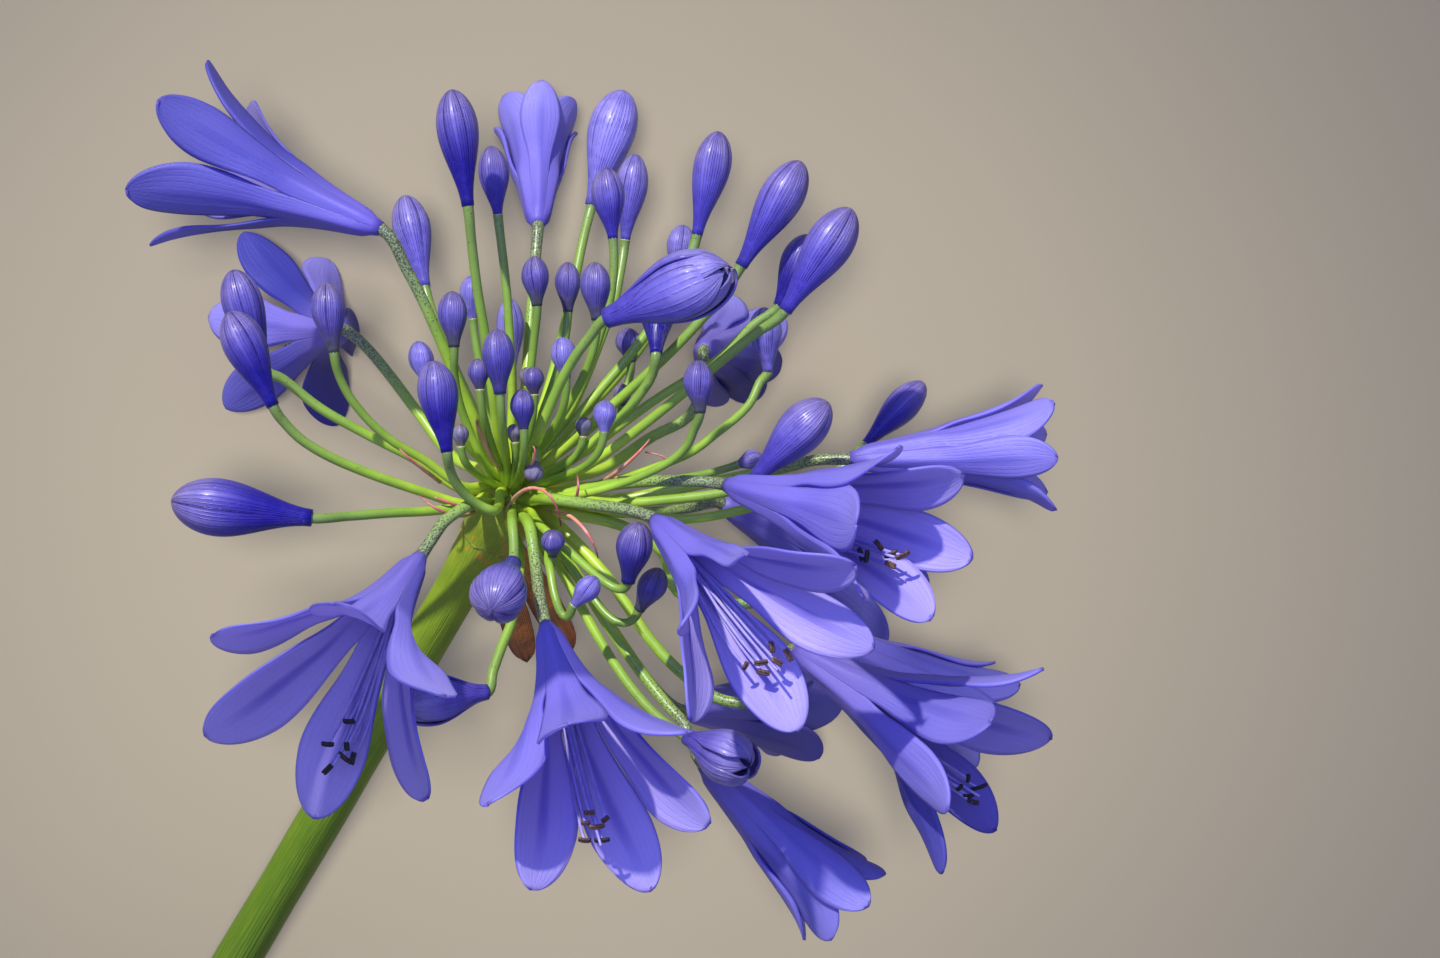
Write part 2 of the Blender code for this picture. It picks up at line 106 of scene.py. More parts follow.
def ease(value, start, end):
    """Smooth step from 0 at start to 1 at end."""
    t = part_way(value, start, end)
    return t * t * (3.0 - 2.0 * t)


RECEPTACLE = place((505, 507), 75.0)
UMBEL_AXIS = direction(SCAPE_BEARING + 180.0, SCAPE_SLOPE)


def new_shell():
    """An empty mesh whose points hold how they grew: across, along, and a tone."""
    shell = bmesh.new()
    shell.verts.layers.float_vector.new("growth")
    return shell


def grow_rod(shell, centres, radii, sides, up, tone=0.5):
    """A closed rod with a flat side up: a ring at each centre, bridged to the next."""
    growth = shell.verts.layers.float_vector["growth"]
    last = len(centres) - 1
    rings = []
    before = []
    for i, centre in enumerate(centres):
        ahead = (centres[min(i + 1, last)] - centres[max(i - 1, 0)]).normalized()
        side = up.cross(ahead).normalized()
        facing = Matrix((side, ahead.cross(side), ahead)).transposed().to_4x4()
        facing = facing @ Matrix.Rotation(math.pi / sides, 4, "Z")
        facing.translation = centre
        ring = bmesh.ops.create_circle(
            shell, segments=sides, radius=radii[i], cap_ends=i in (0, last), matrix=facing)
        for k, vertex in enumerate(ring["verts"]):
            vertex[growth] = (1.0 - abs(1.0 - 2.0 * k / sides), i / last, tone)
        edges = list({e for v in ring["verts"] for e in v.link_edges})
        if before:
            bmesh.ops.bridge_loops(shell, edges=before + edges)
        before = edges
        rings.append(ring["verts"])
    return rings


def put_in_scene(name, data):
    """An object that holds the data, linked into the scene."""
    thing = bpy.data.objects.new(name, data)
    bpy.context.scene.collection.objects.link(thing)
    return thing


def finish_piece(name, shell, material, nodes, faces_look_out=False):
    """Make the piece from its mesh in mm, and let it stand for its nodes."""
    if not faces_look_out:
        bmesh.ops.recalc_face_normals(shell, faces=shell.faces)
    bmesh.ops.scale(shell, vec=(METRES, METRES, METRES), verts=shell.verts)
    mesh = bpy.data.meshes.new(name)
    shell.to_mesh(mesh)
    shell.free()
    mesh.shade_smooth()
    mesh.materials.append(material)
    piece = put_in_scene(name, mesh)
    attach(piece, "root")
    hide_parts(*nodes)
    return piece


def scape_height(run):
    """Height of the scape's middle above the table, this far out from the umbel."""
    facet = SCAPE_RADIUS_CUT * math.cos(math.pi / 8.0)
    t = min(run / SCAPE_CURVED_RUN, 1.0)
    slope = -math.tan(math.radians(SCAPE_SLOPE)) * SCAPE_CURVED_RUN
    keep = 2.0 * t ** 3 - 3.0 * t * t + 1.0
    lean = t ** 3 - 2.0 * t * t + t
    return keep * RECEPTACLE.z + lean * slope + (1.0 - keep) * facet


def new_finish(name, roughness):
    """A material, its nodes and its shader, ready for a pattern to be built on it."""
    material = bpy.data.materials.new(name)
    material.use_nodes = True
    tree = material.node_tree
    shader = tree.nodes["Principled BSDF"]
    shader.inputs["Roughness"].default_value = roughness
    return material, tree, shader


def feed(tree, sockets, values):
    """Give each socket its value: a number, a colour or another node's output."""
    for socket, value in zip(sockets, values):
        if isinstance(value, bpy.types.NodeSocket):
            tree.links.new(value, socket)
        elif socket.type == "RGBA":
            socket.default_value = (*value, 1.0)
        else:
            socket.default_value = value


def math_node(tree, operation, *values):
    """A Math node's output, worked out from its values."""
    node = tree.nodes.new("ShaderNodeMath")
    node.operation = operation
    feed(tree, node.inputs, values)
    return node.outputs[0]


def between(tree, value, low, high):
    """The value's way from low to high, as a share from 0 to 1 with soft ends."""
    node = tree.nodes.new("ShaderNodeMapRange")
    node.interpolation_type = "SMOOTHSTEP"
    feed(tree, node.inputs, (value, low, high))
    return node.outputs["Result"]


def overlap(tree, one, other):
    """Where both masks hold, or a mask scaled by a value."""
    return math_node(tree, "MULTIPLY", one, other)


def tint(tree, share, under, over, strength=1.0):
    """Lay one colour over another by a share."""
    if strength != 1.0:
        share = overlap(tree, share, strength)
    node = tree.nodes.new("ShaderNodeMix")
    node.data_type = "RGBA"
    feed(tree, (node.inputs[0], node.inputs[6], node.inputs[7]), (share, under, over))
    return node.outputs[2]


def colours_along(tree, value, stops):
    """Colours that follow each other along a value from 0 to 1."""
    node = tree.nodes.new("ShaderNodeValToRGB")
    band = node.color_ramp
    band.elements[0].position = stops[0][0]
    band.elements[0].color = (*stops[0][1], 1.0)
    band.elements[1].position = stops[-1][0]
    band.elements[1].color = (*stops[-1][1], 1.0)
    for position, colour in stops[1:-1]:
        band.elements.new(position).color = (*colour, 1.0)
    tree.links.new(value, node.inputs["Fac"])
    return node.outputs["Color"]


def growth_of(tree):
    """The across, along and tone of a point, as they grew."""
    read = tree.nodes.new("ShaderNodeAttribute")
    read.attribute_name = "growth"
    split = tree.nodes.new("ShaderNodeSeparateXYZ")
    tree.links.new(read.outputs["Vector"], split.inputs[0])
    return split.outputs[0], split.outputs[1], split.outputs[2]


def cloud(tree, scale, detail=3.0):
    """Soft noise in the piece's own place, so many blotches to the metre."""
    where = tree.nodes.new("ShaderNodeTexCoord")
    node = tree.nodes.new("ShaderNodeTexNoise")
    node.inputs["Scale"].default_value = scale
    node.inputs["Detail"].default_value = detail
    tree.links.new(where.outputs["Object"], node.inputs["Vector"])
    return node.outputs["Fac"]


def lay_skin(tree, shader, colour, height, depth):
    """Put the colour on, and raise the surface by a height, this many metres deep."""
    tree.links.new(colour, shader.inputs["Base Color"])
    bump = tree.nodes.new("ShaderNodeBump")
    bump.inputs["Distance"].default_value = depth
    tree.links.new(height, bump.inputs["Height"])
    tree.links.new(bump.outputs["Normal"], shader.inputs["Normal"])


def new_group(name, inputs, outputs):
    """A node group with these values going in and out, and the nodes at its two ends."""
    group = bpy.data.node_groups.new(name, "ShaderNodeTree")
    for way, values in (("INPUT", inputs), ("OUTPUT", outputs)):
        for value in values:
            group.interface.new_socket(value, in_out=way, socket_type="NodeSocketFloat")
    return group, group.nodes.new("NodeGroupInput"), group.nodes.new("NodeGroupOutput")


def place_group(tree, group, *values):
    """Place the group in a material with its values, and return its outputs."""
    node = tree.nodes.new("ShaderNodeGroup")
    node.node_tree = group
    feed(tree, node.inputs, values)
    return node.outputs


def make_mottle():
    """Group for green skin: cloudy patches, and fine dark dots that gather."""
    group, given, made = new_group("green skin mottle", ("Gather",), ("Patches", "Dots"))
    patches = between(group, cloud(group, 190.0), 0.3, 0.72)
    lower = overlap(group, given.outputs["Gather"], 0.27)
    level = math_node(group, "SUBTRACT", 0.76, lower)
    over = math_node(group, "SUBTRACT", cloud(group, 3300.0, 1.0), level)
    feed(group, made.inputs, (patches, between(group, over, -0.02, 0.05)))
    return group


mottle = make_mottle()


def make_scape_skin():
    """Yellow-green skin with faint lengthwise streaks and a scarred orange top."""
    material, tree, shader = new_finish("scape skin", 0.42)
    across, along, _ = growth_of(tree)
    patches, dots = place_group(tree, mottle, 0.25)
    # Dark green toward the cut end and paler up to the top: partly the stem's own colour,
    # partly painted light at the top that lifts the umbel's shade there, and painted shade
    # lower down.
    green = colours_along(tree, along, [
        (0.0, (0.042, 0.088, 0.004)), (0.45, (0.047, 0.095, 0.004)),
        (0.66, (0.09, 0.16, 0.006)), (0.84, (0.16, 0.24, 0.010)),
        (1.0, (0.30, 0.37, 0.024))])
    green = tint(tree, patches, green, (0.05, 0.12, 0.004), 0.35)
    shader.inputs["Specular IOR Level"].default_value = 0.25
    streak = tree.nodes.new("ShaderNodeTexNoise")
    streak.inputs["Scale"].default_value = 1.0
    lines = tree.nodes.new("ShaderNodeCombineXYZ")
    feed(tree, lines.inputs, (overlap(tree, across, 34.0), overlap(tree, along, 26.0)))
    tree.links.new(lines.outputs[0], streak.inputs["Vector"])
    streaks = between(tree, streak.outputs["Fac"], 0.45, 0.7)
    green = tint(tree, streaks, green, (0.30, 0.38, 0.02), 0.15)
    green = tint(tree, dots, green, (0.07, 0.11, 0.01), 0.4)
    top = between(tree, along, 0.86, 0.90)
    scars = between(tree, cloud(tree, 420.0), 0.56, 0.7)
    green = tint(tree, overlap(tree, scars, top), green, (0.48, 0.19, 0.02), 0.7)
    lay_skin(tree, shader, green, streak.outputs["Fac"], 0.00025)
    return material


def make_cut_face():
    """The wet cut end: pale pith with greener dots of the fibres in it."""
    material, tree, shader = new_finish("cut stem pith", 0.3)
    where = tree.nodes.new("ShaderNodeTexCoord")
    cells = tree.nodes.new("ShaderNodeTexVoronoi")
    cells.inputs["Scale"].default_value = 900.0
    tree.links.new(where.outputs["Object"], cells.inputs["Vector"])
    fibres = between(tree, cells.outputs["Distance"], 0.45, 0.2)
    pith = tint(tree, fibres, (0.50, 0.60, 0.26), (0.20, 0.34, 0.06), 0.7)
    lay_skin(tree, shader, pith, cells.outputs["Distance"], 0.0002)
    return material


def build_scape():
    """Rings from the cut end up to the dome, pressed flat where they meet the table."""
    away = direction(SCAPE_BEARING, 0.0)
    centres = []
    radii = []
    cut = SCAPE_CURVED_RUN + SCAPE_FLAT_RUN
    runs = [cut - (cut - NECK_RUN) * i / SCAPE_RINGS for i in range(SCAPE_RINGS + 1)]
    for run in (*runs, 11.5, 9.0):
        centre = RECEPTACLE + away * run
        centre.z = scape_height(run)
        thin = 1.0 - min(run / SCAPE_CURVED_RUN, 1.0)
        radius = SCAPE_RADIUS_CUT + (SCAPE_RADIUS_TOP - SCAPE_RADIUS_CUT) * thin
        centres.append(centre)
        radii.append(radius + 0.6 * ease(run, 16.0, 9.0) + 0.05 * math.sin(run * 0.21))
    for rise, share in DOME_PROFILE:
        centres.append(RECEPTACLE + UMBEL_AXIS * rise)
        radii.append(DOME_RADIUS * share)
    shell = new_shell()
    rings = grow_rod(shell, centres, radii, SCAPE_SIDES, UP)
    for vertex in shell.verts:
        vertex.co.z = max(vertex.co.z, 0.0)
    cap = [f for f in shell.faces if all(v in rings[0] for v in f.verts)]
    bmesh.ops.inset_individual(shell, faces=cap, thickness=CUT_RIM, depth=CUT_HOLLOW)
    for face in cap:
        face.material_index = 1
    bmesh.ops.poke(shell, faces=cap)
    piece = finish_piece("scape", shell, make_scape_skin(), ["stalk"])
    piece.data.materials.append(make_cut_face())


build_scape()


# Spathe. The papery sheath that wrapped the young umbel. It has split into two dry
# brown bracts, which hang back from the collar where it is joined to the scape.

SPATHE_NECK = RECEPTACLE - UMBEL_AXIS * 6.6
SPATHE_INNER = SCAPE_RADIUS_TOP + 0.85
SPATHE_THICKNESS = 0.35
COLLAR_HEIGHT = 0.9
# Each bract: where on the collar it is joined (bearing, rise), the pixel and height of
# its end, half its width in mm, and a number that makes its folds its own.
BRACTS = (
    (290.0, -20.0, (527, 661), 46.0, 2.7, 0.4),
    (345.0, -35.0, (572, 652), 42.0, 2.7, 2.1),
)


def turned(bearing, rise, roll):
    """Rotation that takes +Z to the direction, with the roll about it."""
    along = direction(bearing, rise)
    up = direction(bearing, rise + 90.0)
    side = along.cross(up)
    angle = math.radians(roll)
    first = up * math.cos(angle) + side * math.sin(angle)
    return Matrix((first, along.cross(first), along)).transposed()


def set_down(shell, rotation, point):
    """Turn the mesh, and put its foot on the point."""
    matrix = rotation.to_4x4()
    matrix.translation = point
    bmesh.ops.transform(shell, matrix=matrix, verts=shell.verts)


def make_veins():
    """Group for fine lengthwise veins: thin lines across a blade, broken up a little."""
    group, given, made = new_group(
        "lengthwise veins", ("Across", "Count", "Sharpness"), ("Veins",))
    drift = overlap(group, cloud(group, 60.0, 1.0), 0.12)
    spread = math_node(group, "ADD", given.outputs["Across"], drift)
    turns = overlap(group, given.outputs["Count"], math.pi)
    wave = math_node(group, "SINE", overlap(group, spread, turns))
    line = math_node(group, "SUBTRACT", 1.0, math_node(group, "ABSOLUTE", wave))
    line = math_node(group, "POWER", line, given.outputs["Sharpness"])
    broken = between(group, cloud(group, 900.0, 2.0), 0.25, 0.6)
    group.links.new(overlap(group, line, broken), made.inputs["Veins"])
    return group


veins = make_veins()


def veined(tree, across, count, sharpness):
    """Lines of the vein group, this many across the blade."""
    return place_group(tree, veins, across, count, sharpness)["Veins"]


def make_dry_bract():
    """Papery brown, green where it is joined, darker in patches, with pale veins."""
    material, tree, shader = new_finish("dry spathe", 0.7)
    across, along, tone = growth_of(tree)
    lines = veined(tree, across, 9.0, 2.0)
    brown = colours_along(tree, along, [
        (0.0, (0.30, 0.30, 0.03)), (0.15, (0.58, 0.25, 0.035)), (0.5, (0.68, 0.23, 0.030)),
        (0.85, (0.52, 0.15, 0.025)), (1.0, (0.22, 0.06, 0.02))])
    dark = overlap(tree, between(tree, cloud(tree, 260.0), 0.4, 0.65),
                   between(tree, along, 0.05, 0.25))
    brown = tint(tree, dark, brown, (0.11, 0.045, 0.02), 0.5)
    brown = tint(tree, between(tree, tone, 0.55, 1.0), brown, (0.055, 0.025, 0.03), 0.6)
    brown = tint(tree, lines, brown, (0.55, 0.30, 0.13), 0.5)
    lay_skin(tree, shader, brown, lines, 0.0003)
    return material


def grow_bract(shell, root, tip, half, curl):
    """A cupped blade, broad side up, that hangs from the collar and ends blunt."""
    growth = shell.verts.layers.float_vector["growth"]
    ahead = (tip - root).normalized()
    side = ahead.cross(UP).normalized()
    up = side.cross(ahead)
    grid = bmesh.ops.create_grid(shell, x_segments=14, y_segments=26, size=1.0)
    for vertex in grid["verts"]:
        t = vertex.co.x
        s = (vertex.co.y + 1.0) * 0.5
        width = half * (0.5 + 0.5 * ease(s, 0.0, 0.55))
        width *= math.sqrt(max(1.0 - s ** 7, 0.004))
        middle = root.lerp(tip, s) + up * 1.6 * math.sin(math.pi * s)
        fold = 0.35 * math.sin(8.0 * s + curl) * abs(t) + 0.16 * math.cos(11.0 * t + curl)
        vertex.co = middle + side * width * t + up * (fold - 1.5 * t * t * (1.0 - 0.5 * s))
        vertex[growth] = (abs(t), s, 0.5 + 0.5 * t)


def thicken(piece, thickness):
    """Give a skin its thickness in mm, half to each side."""
    solid = piece.modifiers.new("thickness", "SOLIDIFY")
    solid.thickness = thickness * METRES
    solid.offset = 0.0
    return solid


def build_spathe():
    """The collar's waved ring, and the two bracts that hang from it."""
    shell = new_shell()
    growth = shell.verts.layers.float_vector["growth"]
    collar = bmesh.ops.create_cone(
        shell, cap_ends=False, segments=40, radius1=SPATHE_INNER + 0.15,
        radius2=SPATHE_INNER - 0.1, depth=COLLAR_HEIGHT)
    for vertex in collar["verts"]:
        angle = math.atan2(vertex.co.y, vertex.co.x)
        vertex.co.z += 0.3 * math.sin(5.0 * angle) + 0.15 * math.sin(11.0 * angle)
        vertex[growth] = (0.5 + 0.5 * math.sin(7.0 * angle), 0.0, 0.2)
    set_down(shell, turned(SCAPE_BEARING + 180.0, SCAPE_SLOPE, 0.0), SPATHE_NECK)
    for bearing, rise, pixel, height, half, curl in BRACTS:
        root = SPATHE_NECK + direction(bearing, rise) * (SPATHE_INNER + 0.1)
        grow_bract(shell, root, place(pixel, height), half, curl)
    piece = finish_piece("spathe_bracts", shell, make_dry_bract(), ["spathe"])
    thicken(piece, SPATHE_THICKNESS)


build_spathe()


# Open flowers. Six satiny tepals in two whorls, joined in a tube at the foot and
# curled out at the tips. The flower is one soft body, grown on the end of its pedicel.

SPLIT = 0.375
THROAT_ANGLE = 8.0
TIP_CURL = 14.0
STEPS = 48
TEPAL_THICKNESS = 0.45
LIGHT_THROUGH = 0.40
THROAT_RADIUS = 1.7
# A grown flower, and the size and bow of its tepals. Smaller ones are scaled from it.
GROWN_LENGTH = 46.0
OPEN_SPREAD = 28.0
INNER_TEPAL_WIDTH = 11.6
OUTER_TEPAL_WIDTH = 10.0
BLADE_BOW = 10.0
EDGE_RIPPLE = 0.42
FOOT = 0.58
WHORL_STEP = 0.55
TEPAL_ROWS = 40
TEPAL_COLUMNS = 12
STRAIGHT = (0, 0, 0, 0, 0, 0)
# Tepals that have twisted on their own midrib as they aged, in degrees.
TWISTED = {
    ("flower_02", 4): -55.0, ("flower_03", 4): -20.0, ("flower_03", 0): 35.0,
    ("flower_07", 1): 55.0,
}
# Tepals that are narrower than the rest, or wider.
WIDTH_SHARE = {
    ("flower_01", 4): 0.7, ("flower_02", 0): 1.15, ("flower_02", 2): 1.15,
    ("flower_02", 3): 1.1, ("flower_04", 4): 0.42, ("flower_04", 5): 0.62,
    ("flower_07", 1): 0.75, ("flower_08", 0): 1.2, ("flower_08", 4): 1.15,
    ("flower_08", 5): 1.15, ("flower_09", 0): 1.1, ("flower_09", 1): 1.2,
    ("flower_09", 5): 1.3,
}
# How much deeper the blue of each tepal is than in the rest, from 0 to 0.94: below 0
# for a tepal that is deeper at its foot. This is partly the tepal's own deeper colour
# and partly painted shade where other flowers and buds cast their shadows.
DEEPER_AND_SHADED = {
    "flower_01": (0.5, 0.6, 0.4, 0.5, 0.5, 0.45),
    "flower_02": (0.0, 0.0, 0.0, 0.0, -0.5, 0.0),
    "flower_03": (-0.94, 0.0, 0.0, 0.0, -0.6, -0.94),
    "flower_07": (0.0, 0.6, 0.7, 0.3, 0.2, 0.3),
    "flower_08": (0.1, 0.6, 0.5, 0.4, 0.3, 0.3),
    "flower_10": (0.6, 0.4, 0.4, 0.4, 0.4, 0.6),
    "flower_11": (0.94, 0.0, 0.9, 0.9, 0.5, 0.0),
    "flower_12": (0.8, 0.8, 0.5, 0.3, 0.2, 0.1),
    "flower_13": (0.6, 0.5, 0.5, 0.5, 0.5, 0.5),
    "flower_14": (0.5, 0.5, 0.5, 0.5, 0.5, 0.5),
}
# joint: pixel where the pedicel ends. A height of None sets the flower on its lowest
# tip. bearing, rise, roll and spread are in degrees, and so are bend and swing: how
# far each tepal leans out more, or aside.
Flower = namedtuple("Flower", "joint height bearing rise roll length spread bend swing")
FLOWERS = {
    "flower_01": Flower((381, 229), 92, 158, -16, 22, 43.0, 27,
                        (2, -3, 8, 1, -1, -1), (-3, 3, 1, -3, -1, 1)),
    "flower_02": Flower((420, 557), 112, 241, 48, 74, 47.5, 37,
                        (-9, -1, 0, -5, 1, 4), (0, 4, 1, 8, 1, -1)),
    "flower_03": Flower((546, 625), 112, 290, 48, 59, 49.0, 28,
                        (-3, -7, 8, -7, -1, 4), (-3, 2, 6, 1, 2, 0)),
    "flower_04": Flower((655, 520), 110, 316, 50, 91, 45.7, 28,
                        (-3, 0, 2, -3, -2, 1), (-6, 3, 0, -2, 8, -4)),
    "flower_05": Flower((727, 485), 102, 345, 45, 60, 45.0, 19,
                        (-4, 7, 8, -1, 0, -1), (-2, 9, -4, -3, 3, 3)),
    "flower_06": Flower((850, 459), 82, 3, -2, 14, 35.8, 15,
                        (1, 4, 0, -1, 3, 3), (-6, 0, 2, 1, -4, 2)),
    "flower_07": Flower((795, 650), 92, 329, 22, 35, 45.3, 28,
                        (-5, 4, -3, 0, 3, 3), (-7, 4, -3, -3, 11, 3)),
    "flower_08": Flower((703, 764), 98, 315, -13, 103, 36.1, 11, STRAIGHT, STRAIGHT),
    "flower_09": Flower((538, 225), 48, 93, -48, 9, 33.3, 10,
                        (-2, 0, -2, 0, 0, 0), STRAIGHT),
    "flower_10": Flower((810, 628), 70, 332, -29, 1, 41.7, 11, STRAIGHT, STRAIGHT),
    "flower_11": Flower((345, 330), None, 175, -68, 61, 43.5, 31,
                        (4, -9, -16, 7, -2, -14), (-1, -3, -6, -7, 2, 4)),
    "flower_12": Flower((704, 350), None, 1, -80, 15, 42.0, 12,
                        (-12, -4, 1, -3, 2, 3), (0, 6, -6, -2, 2, 0)),
    "flower_13": Flower((687, 711), 58, 357, -63, 56, 43.2, 12, STRAIGHT, STRAIGHT),
    "flower_14": Flower((722, 503), None, 334, -38, 47, 44.0, 18,
                        (0, -3, 0, -5, 0, 0), STRAIGHT),
}


def sample(values, s):
    """Value at a share s of the way through an evenly spaced list."""
    spot = min(max(s, 0.0), 1.0) * STEPS
    i = min(int(spot), STEPS - 1)
    return values[i] + (values[i + 1] - values[i]) * (spot - i)


def round_off(s, start, power, root=0.5):
    """Share of the full width that is left at s, as it rounds off from start to the tip."""
    return max(1.0 - part_way(s, start, 1.0) ** power, 0.0) ** root


class Trumpet:
    """The form of one flower, along +Z: an inner and an outer whorl of tepals."""

    def __init__(self, name):
        self.flower = FLOWERS[name]
        self.rotation = turned(self.flower.bearing, self.flower.rise, self.flower.roll)
        self.scale = self.flower.length / GROWN_LENGTH
        self.tube = self.midline(0.0)
        self.tepals = [self.midline(bend) for bend in self.flower.bend]
        chance = random.Random(name)
        looseness = min(self.flower.spread / OPEN_SPREAD, 1.0)
        self.twist = [chance.uniform(-9, 9) * looseness + TWISTED.get((name, k), 0.0)
                      for k in range(6)]
        self.phase = [chance.uniform(0.0, 6.3) for _ in range(6)]
        self.ripple = EDGE_RIPPLE * looseness
        self.share = [WIDTH_SHARE.get((name, k), 1.0) for k in range(6)]
        # Each tepal's tone is its deeper blue, partly painted shade, with a little chance
        # added.
        self.tone = [depth + chance.uniform(0.0, 0.06)
                     for depth in DEEPER_AND_SHADED.get(name, STRAIGHT)]

    def midline(self, bend):
        """Radius, height and lean of a tepal's midline, step by step."""
        lean = []
        for i in range(STEPS + 1):
            s = i / STEPS
            angle = THROAT_ANGLE
            angle += (self.flower.spread - THROAT_ANGLE) * ease(s, 0.05, 0.75)
            angle += TIP_CURL * ease(s, 0.72, 1.0) + bend * ease(s, SPLIT, 0.8)
            lean.append(math.radians(angle))
        radius = [THROAT_RADIUS]
        height = [0.0]
        step = self.flower.length / STEPS
        for before, after in zip(lean, lean[1:]):
            radius.append(radius[-1] + step * 0.5 * (math.sin(before) + math.sin(after)))
            height.append(height[-1] + step * 0.5 * (math.cos(before) + math.cos(after)))
        return radius, height, lean

    def radius_at(self, s):
        """Radius of the tube at a share s of the flower's length."""
        return sample(self.tube[0], s)

    def half_width(self, tepal, s):
        """A twelfth of the tube's girth, then a blade with a rounded tip."""
        if s <= SPLIT:
            return self.radius_at(s) * math.pi / 6.0
        at_split = self.radius_at(SPLIT) * math.pi / 6.0
        widest = 0.5 * (INNER_TEPAL_WIDTH if tepal % 2 else OUTER_TEPAL_WIDTH)
        widest *= self.share[tepal]
        blade = at_split + (widest * self.scale - at_split) * ease(s, SPLIT, 0.80)
        return blade * round_off(s, 0.72, 2.4, 0.56)

    def bow(self, s):
        """Radius of the tepal's cross section: the tube's own, then flatter."""
        around = self.radius_at(s)
        if s <= SPLIT:
            return around
        at_split = self.radius_at(SPLIT)
        flatter = (BLADE_BOW * self.scale - at_split) * ease(s, 0.5, 0.95)
        return max(around, at_split + flatter)

    def relief(self, tepal, s, t):
        """How far the skin stands out: the tube's six ribs, the midrib, waved edges."""
        blade = ease(s, SPLIT, 0.62)
        rib = math.exp(-((t / 0.14) ** 2)) * ease(s, 0.1, 0.4) * (1.0 - ease(s, 0.8, 0.97))
        pleats = 0.05 * math.cos(5.0 * math.pi * t) * (1.0 - ease(s, 0.85, 1.0))
        phase = self.phase[tepal] + (1.7 if t > 0 else 0.0)
        edge = abs(t) ** 3 * math.sin(12.0 * s + phase)
        tube = 0.2 * math.cos(math.pi * t) * ease(s, 0.02, 0.15)
        return 0.2 * rib + blade * (pleats + self.ripple * edge) + (1.0 - blade) * tube

    def point(self, tepal, s, t):
        """Point on tepal 0 to 5, at s along it (0 to 1) and t across it (-1 to 1)."""
        radius, height, lean = (sample(values, s) for values in self.tepals[tepal])
        bow = self.bow(s)
        across = self.half_width(tepal, s) / bow * t
        sink = bow * (1.0 - math.cos(across))
        tilt = ease(s, SPLIT, 0.6)
        step = (-WHORL_STEP if tepal % 2 else WHORL_STEP) * ease(s, SPLIT, 0.55)
        step += self.relief(tepal, s, t) - sink * tilt
        wide = bow * math.sin(across)
        twist = math.radians(self.twist[tepal]) * ease(s, SPLIT, 0.75)
        outward = step * math.cos(twist) + wide * math.sin(twist)
        sideways = wide * math.cos(twist) - step * math.sin(twist)
        out = radius - sink * (1.0 - tilt) + outward * math.cos(lean)
        up = height - outward * math.sin(lean)
        swing = self.flower.swing[tepal] * ease(s, SPLIT, 0.95)
        turn = Matrix.Rotation(math.radians(60.0 * tepal + swing), 3, "Z")
        foot = FOOT + (1.0 - FOOT) * ease(s, 0.0, 0.08)
        return turn @ Vector((out * foot, sideways * foot, up))


def make_tepal_skin(name, stops, deep, stripe_depth, roughness, specular):
    """Violet-blue: deep at the foot, paler to the tips, with a dark line on each
    midrib and faint veins. Thin enough that light from behind glows through."""
    material, tree, shader = new_finish(name, roughness)
    across, along, tone = growth_of(tree)
    skin = colours_along(tree, along, stops)
    patches = between(tree, cloud(tree, 70.0, 2.0), 0.35, 0.75)
    skin = tint(tree, patches, skin, stops[2][1], 0.25)
    # Painted shade in part: tepals listed as deeper get deep blue over the blade or the foot,
    # partly their own colour and partly shade painted where shadows fall.
    blade = overlap(tree, between(tree, tone, 0.06, 0.94), between(tree, along, 0.0, 0.55))
    foot = overlap(tree, between(tree, tone, 0.0, -0.94), between(tree, along, 0.42, 0.34))
    deeper_and_shaded = math_node(tree, "MAXIMUM", blade, foot)
    skin = tint(tree, deeper_and_shaded, skin, deep, 0.9)
    lines = overlap(tree, veined(tree, across, 5.0, 3.0), between(tree, along, 0.15, 0.5))
    skin = tint(tree, lines, skin, deep, 0.08)
    stripe = overlap(tree, between(tree, along, 0.30, 0.55), between(tree, along, 0.97, 0.72))
    stripe = overlap(tree, stripe, between(tree, across, 0.30, 0.02))
    skin = tint(tree, stripe, skin, deep, stripe_depth)
    rim = overlap(tree, between(tree, across, 0.93, 1.0), between(tree, along, 0.4, 0.5))
    skin = tint(tree, rim, skin, deep, 0.25)
    nib = between(tree, along, 0.985, 1.0)
    skin = tint(tree, nib, skin, (0.10, 0.05, 0.25), 0.5)
    shader.inputs["Specular IOR Level"].default_value = specular
    height = math_node(tree, "SUBTRACT", cloud(tree, 2200.0, 2.0), overlap(tree, lines, 0.9))
    lay_skin(tree, shader, skin, height, 0.00005)
    glow = tree.nodes.new("ShaderNodeBsdfTranslucent")
    through = tint(tree, between(tree, along, 0.0, 0.5), (0.20, 0.16, 0.68),
                   (0.44, 0.37, 0.95))
    # The light coming through those tepals is deepened by the same painted shade.
    through = tint(tree, deeper_and_shaded, through, (0.02, 0.025, 0.36), 0.8)
    tree.links.new(through, glow.inputs["Color"])
    both = tree.nodes.new("ShaderNodeMixShader")
    both.inputs["Fac"].default_value = LIGHT_THROUGH
    out = tree.nodes["Material Output"]
    tree.links.new(shader.outputs[0], both.inputs[1])
    tree.links.new(glow.outputs[0], both.inputs[2])
    tree.links.new(both.outputs[0], out.inputs["Surface"])
    return material


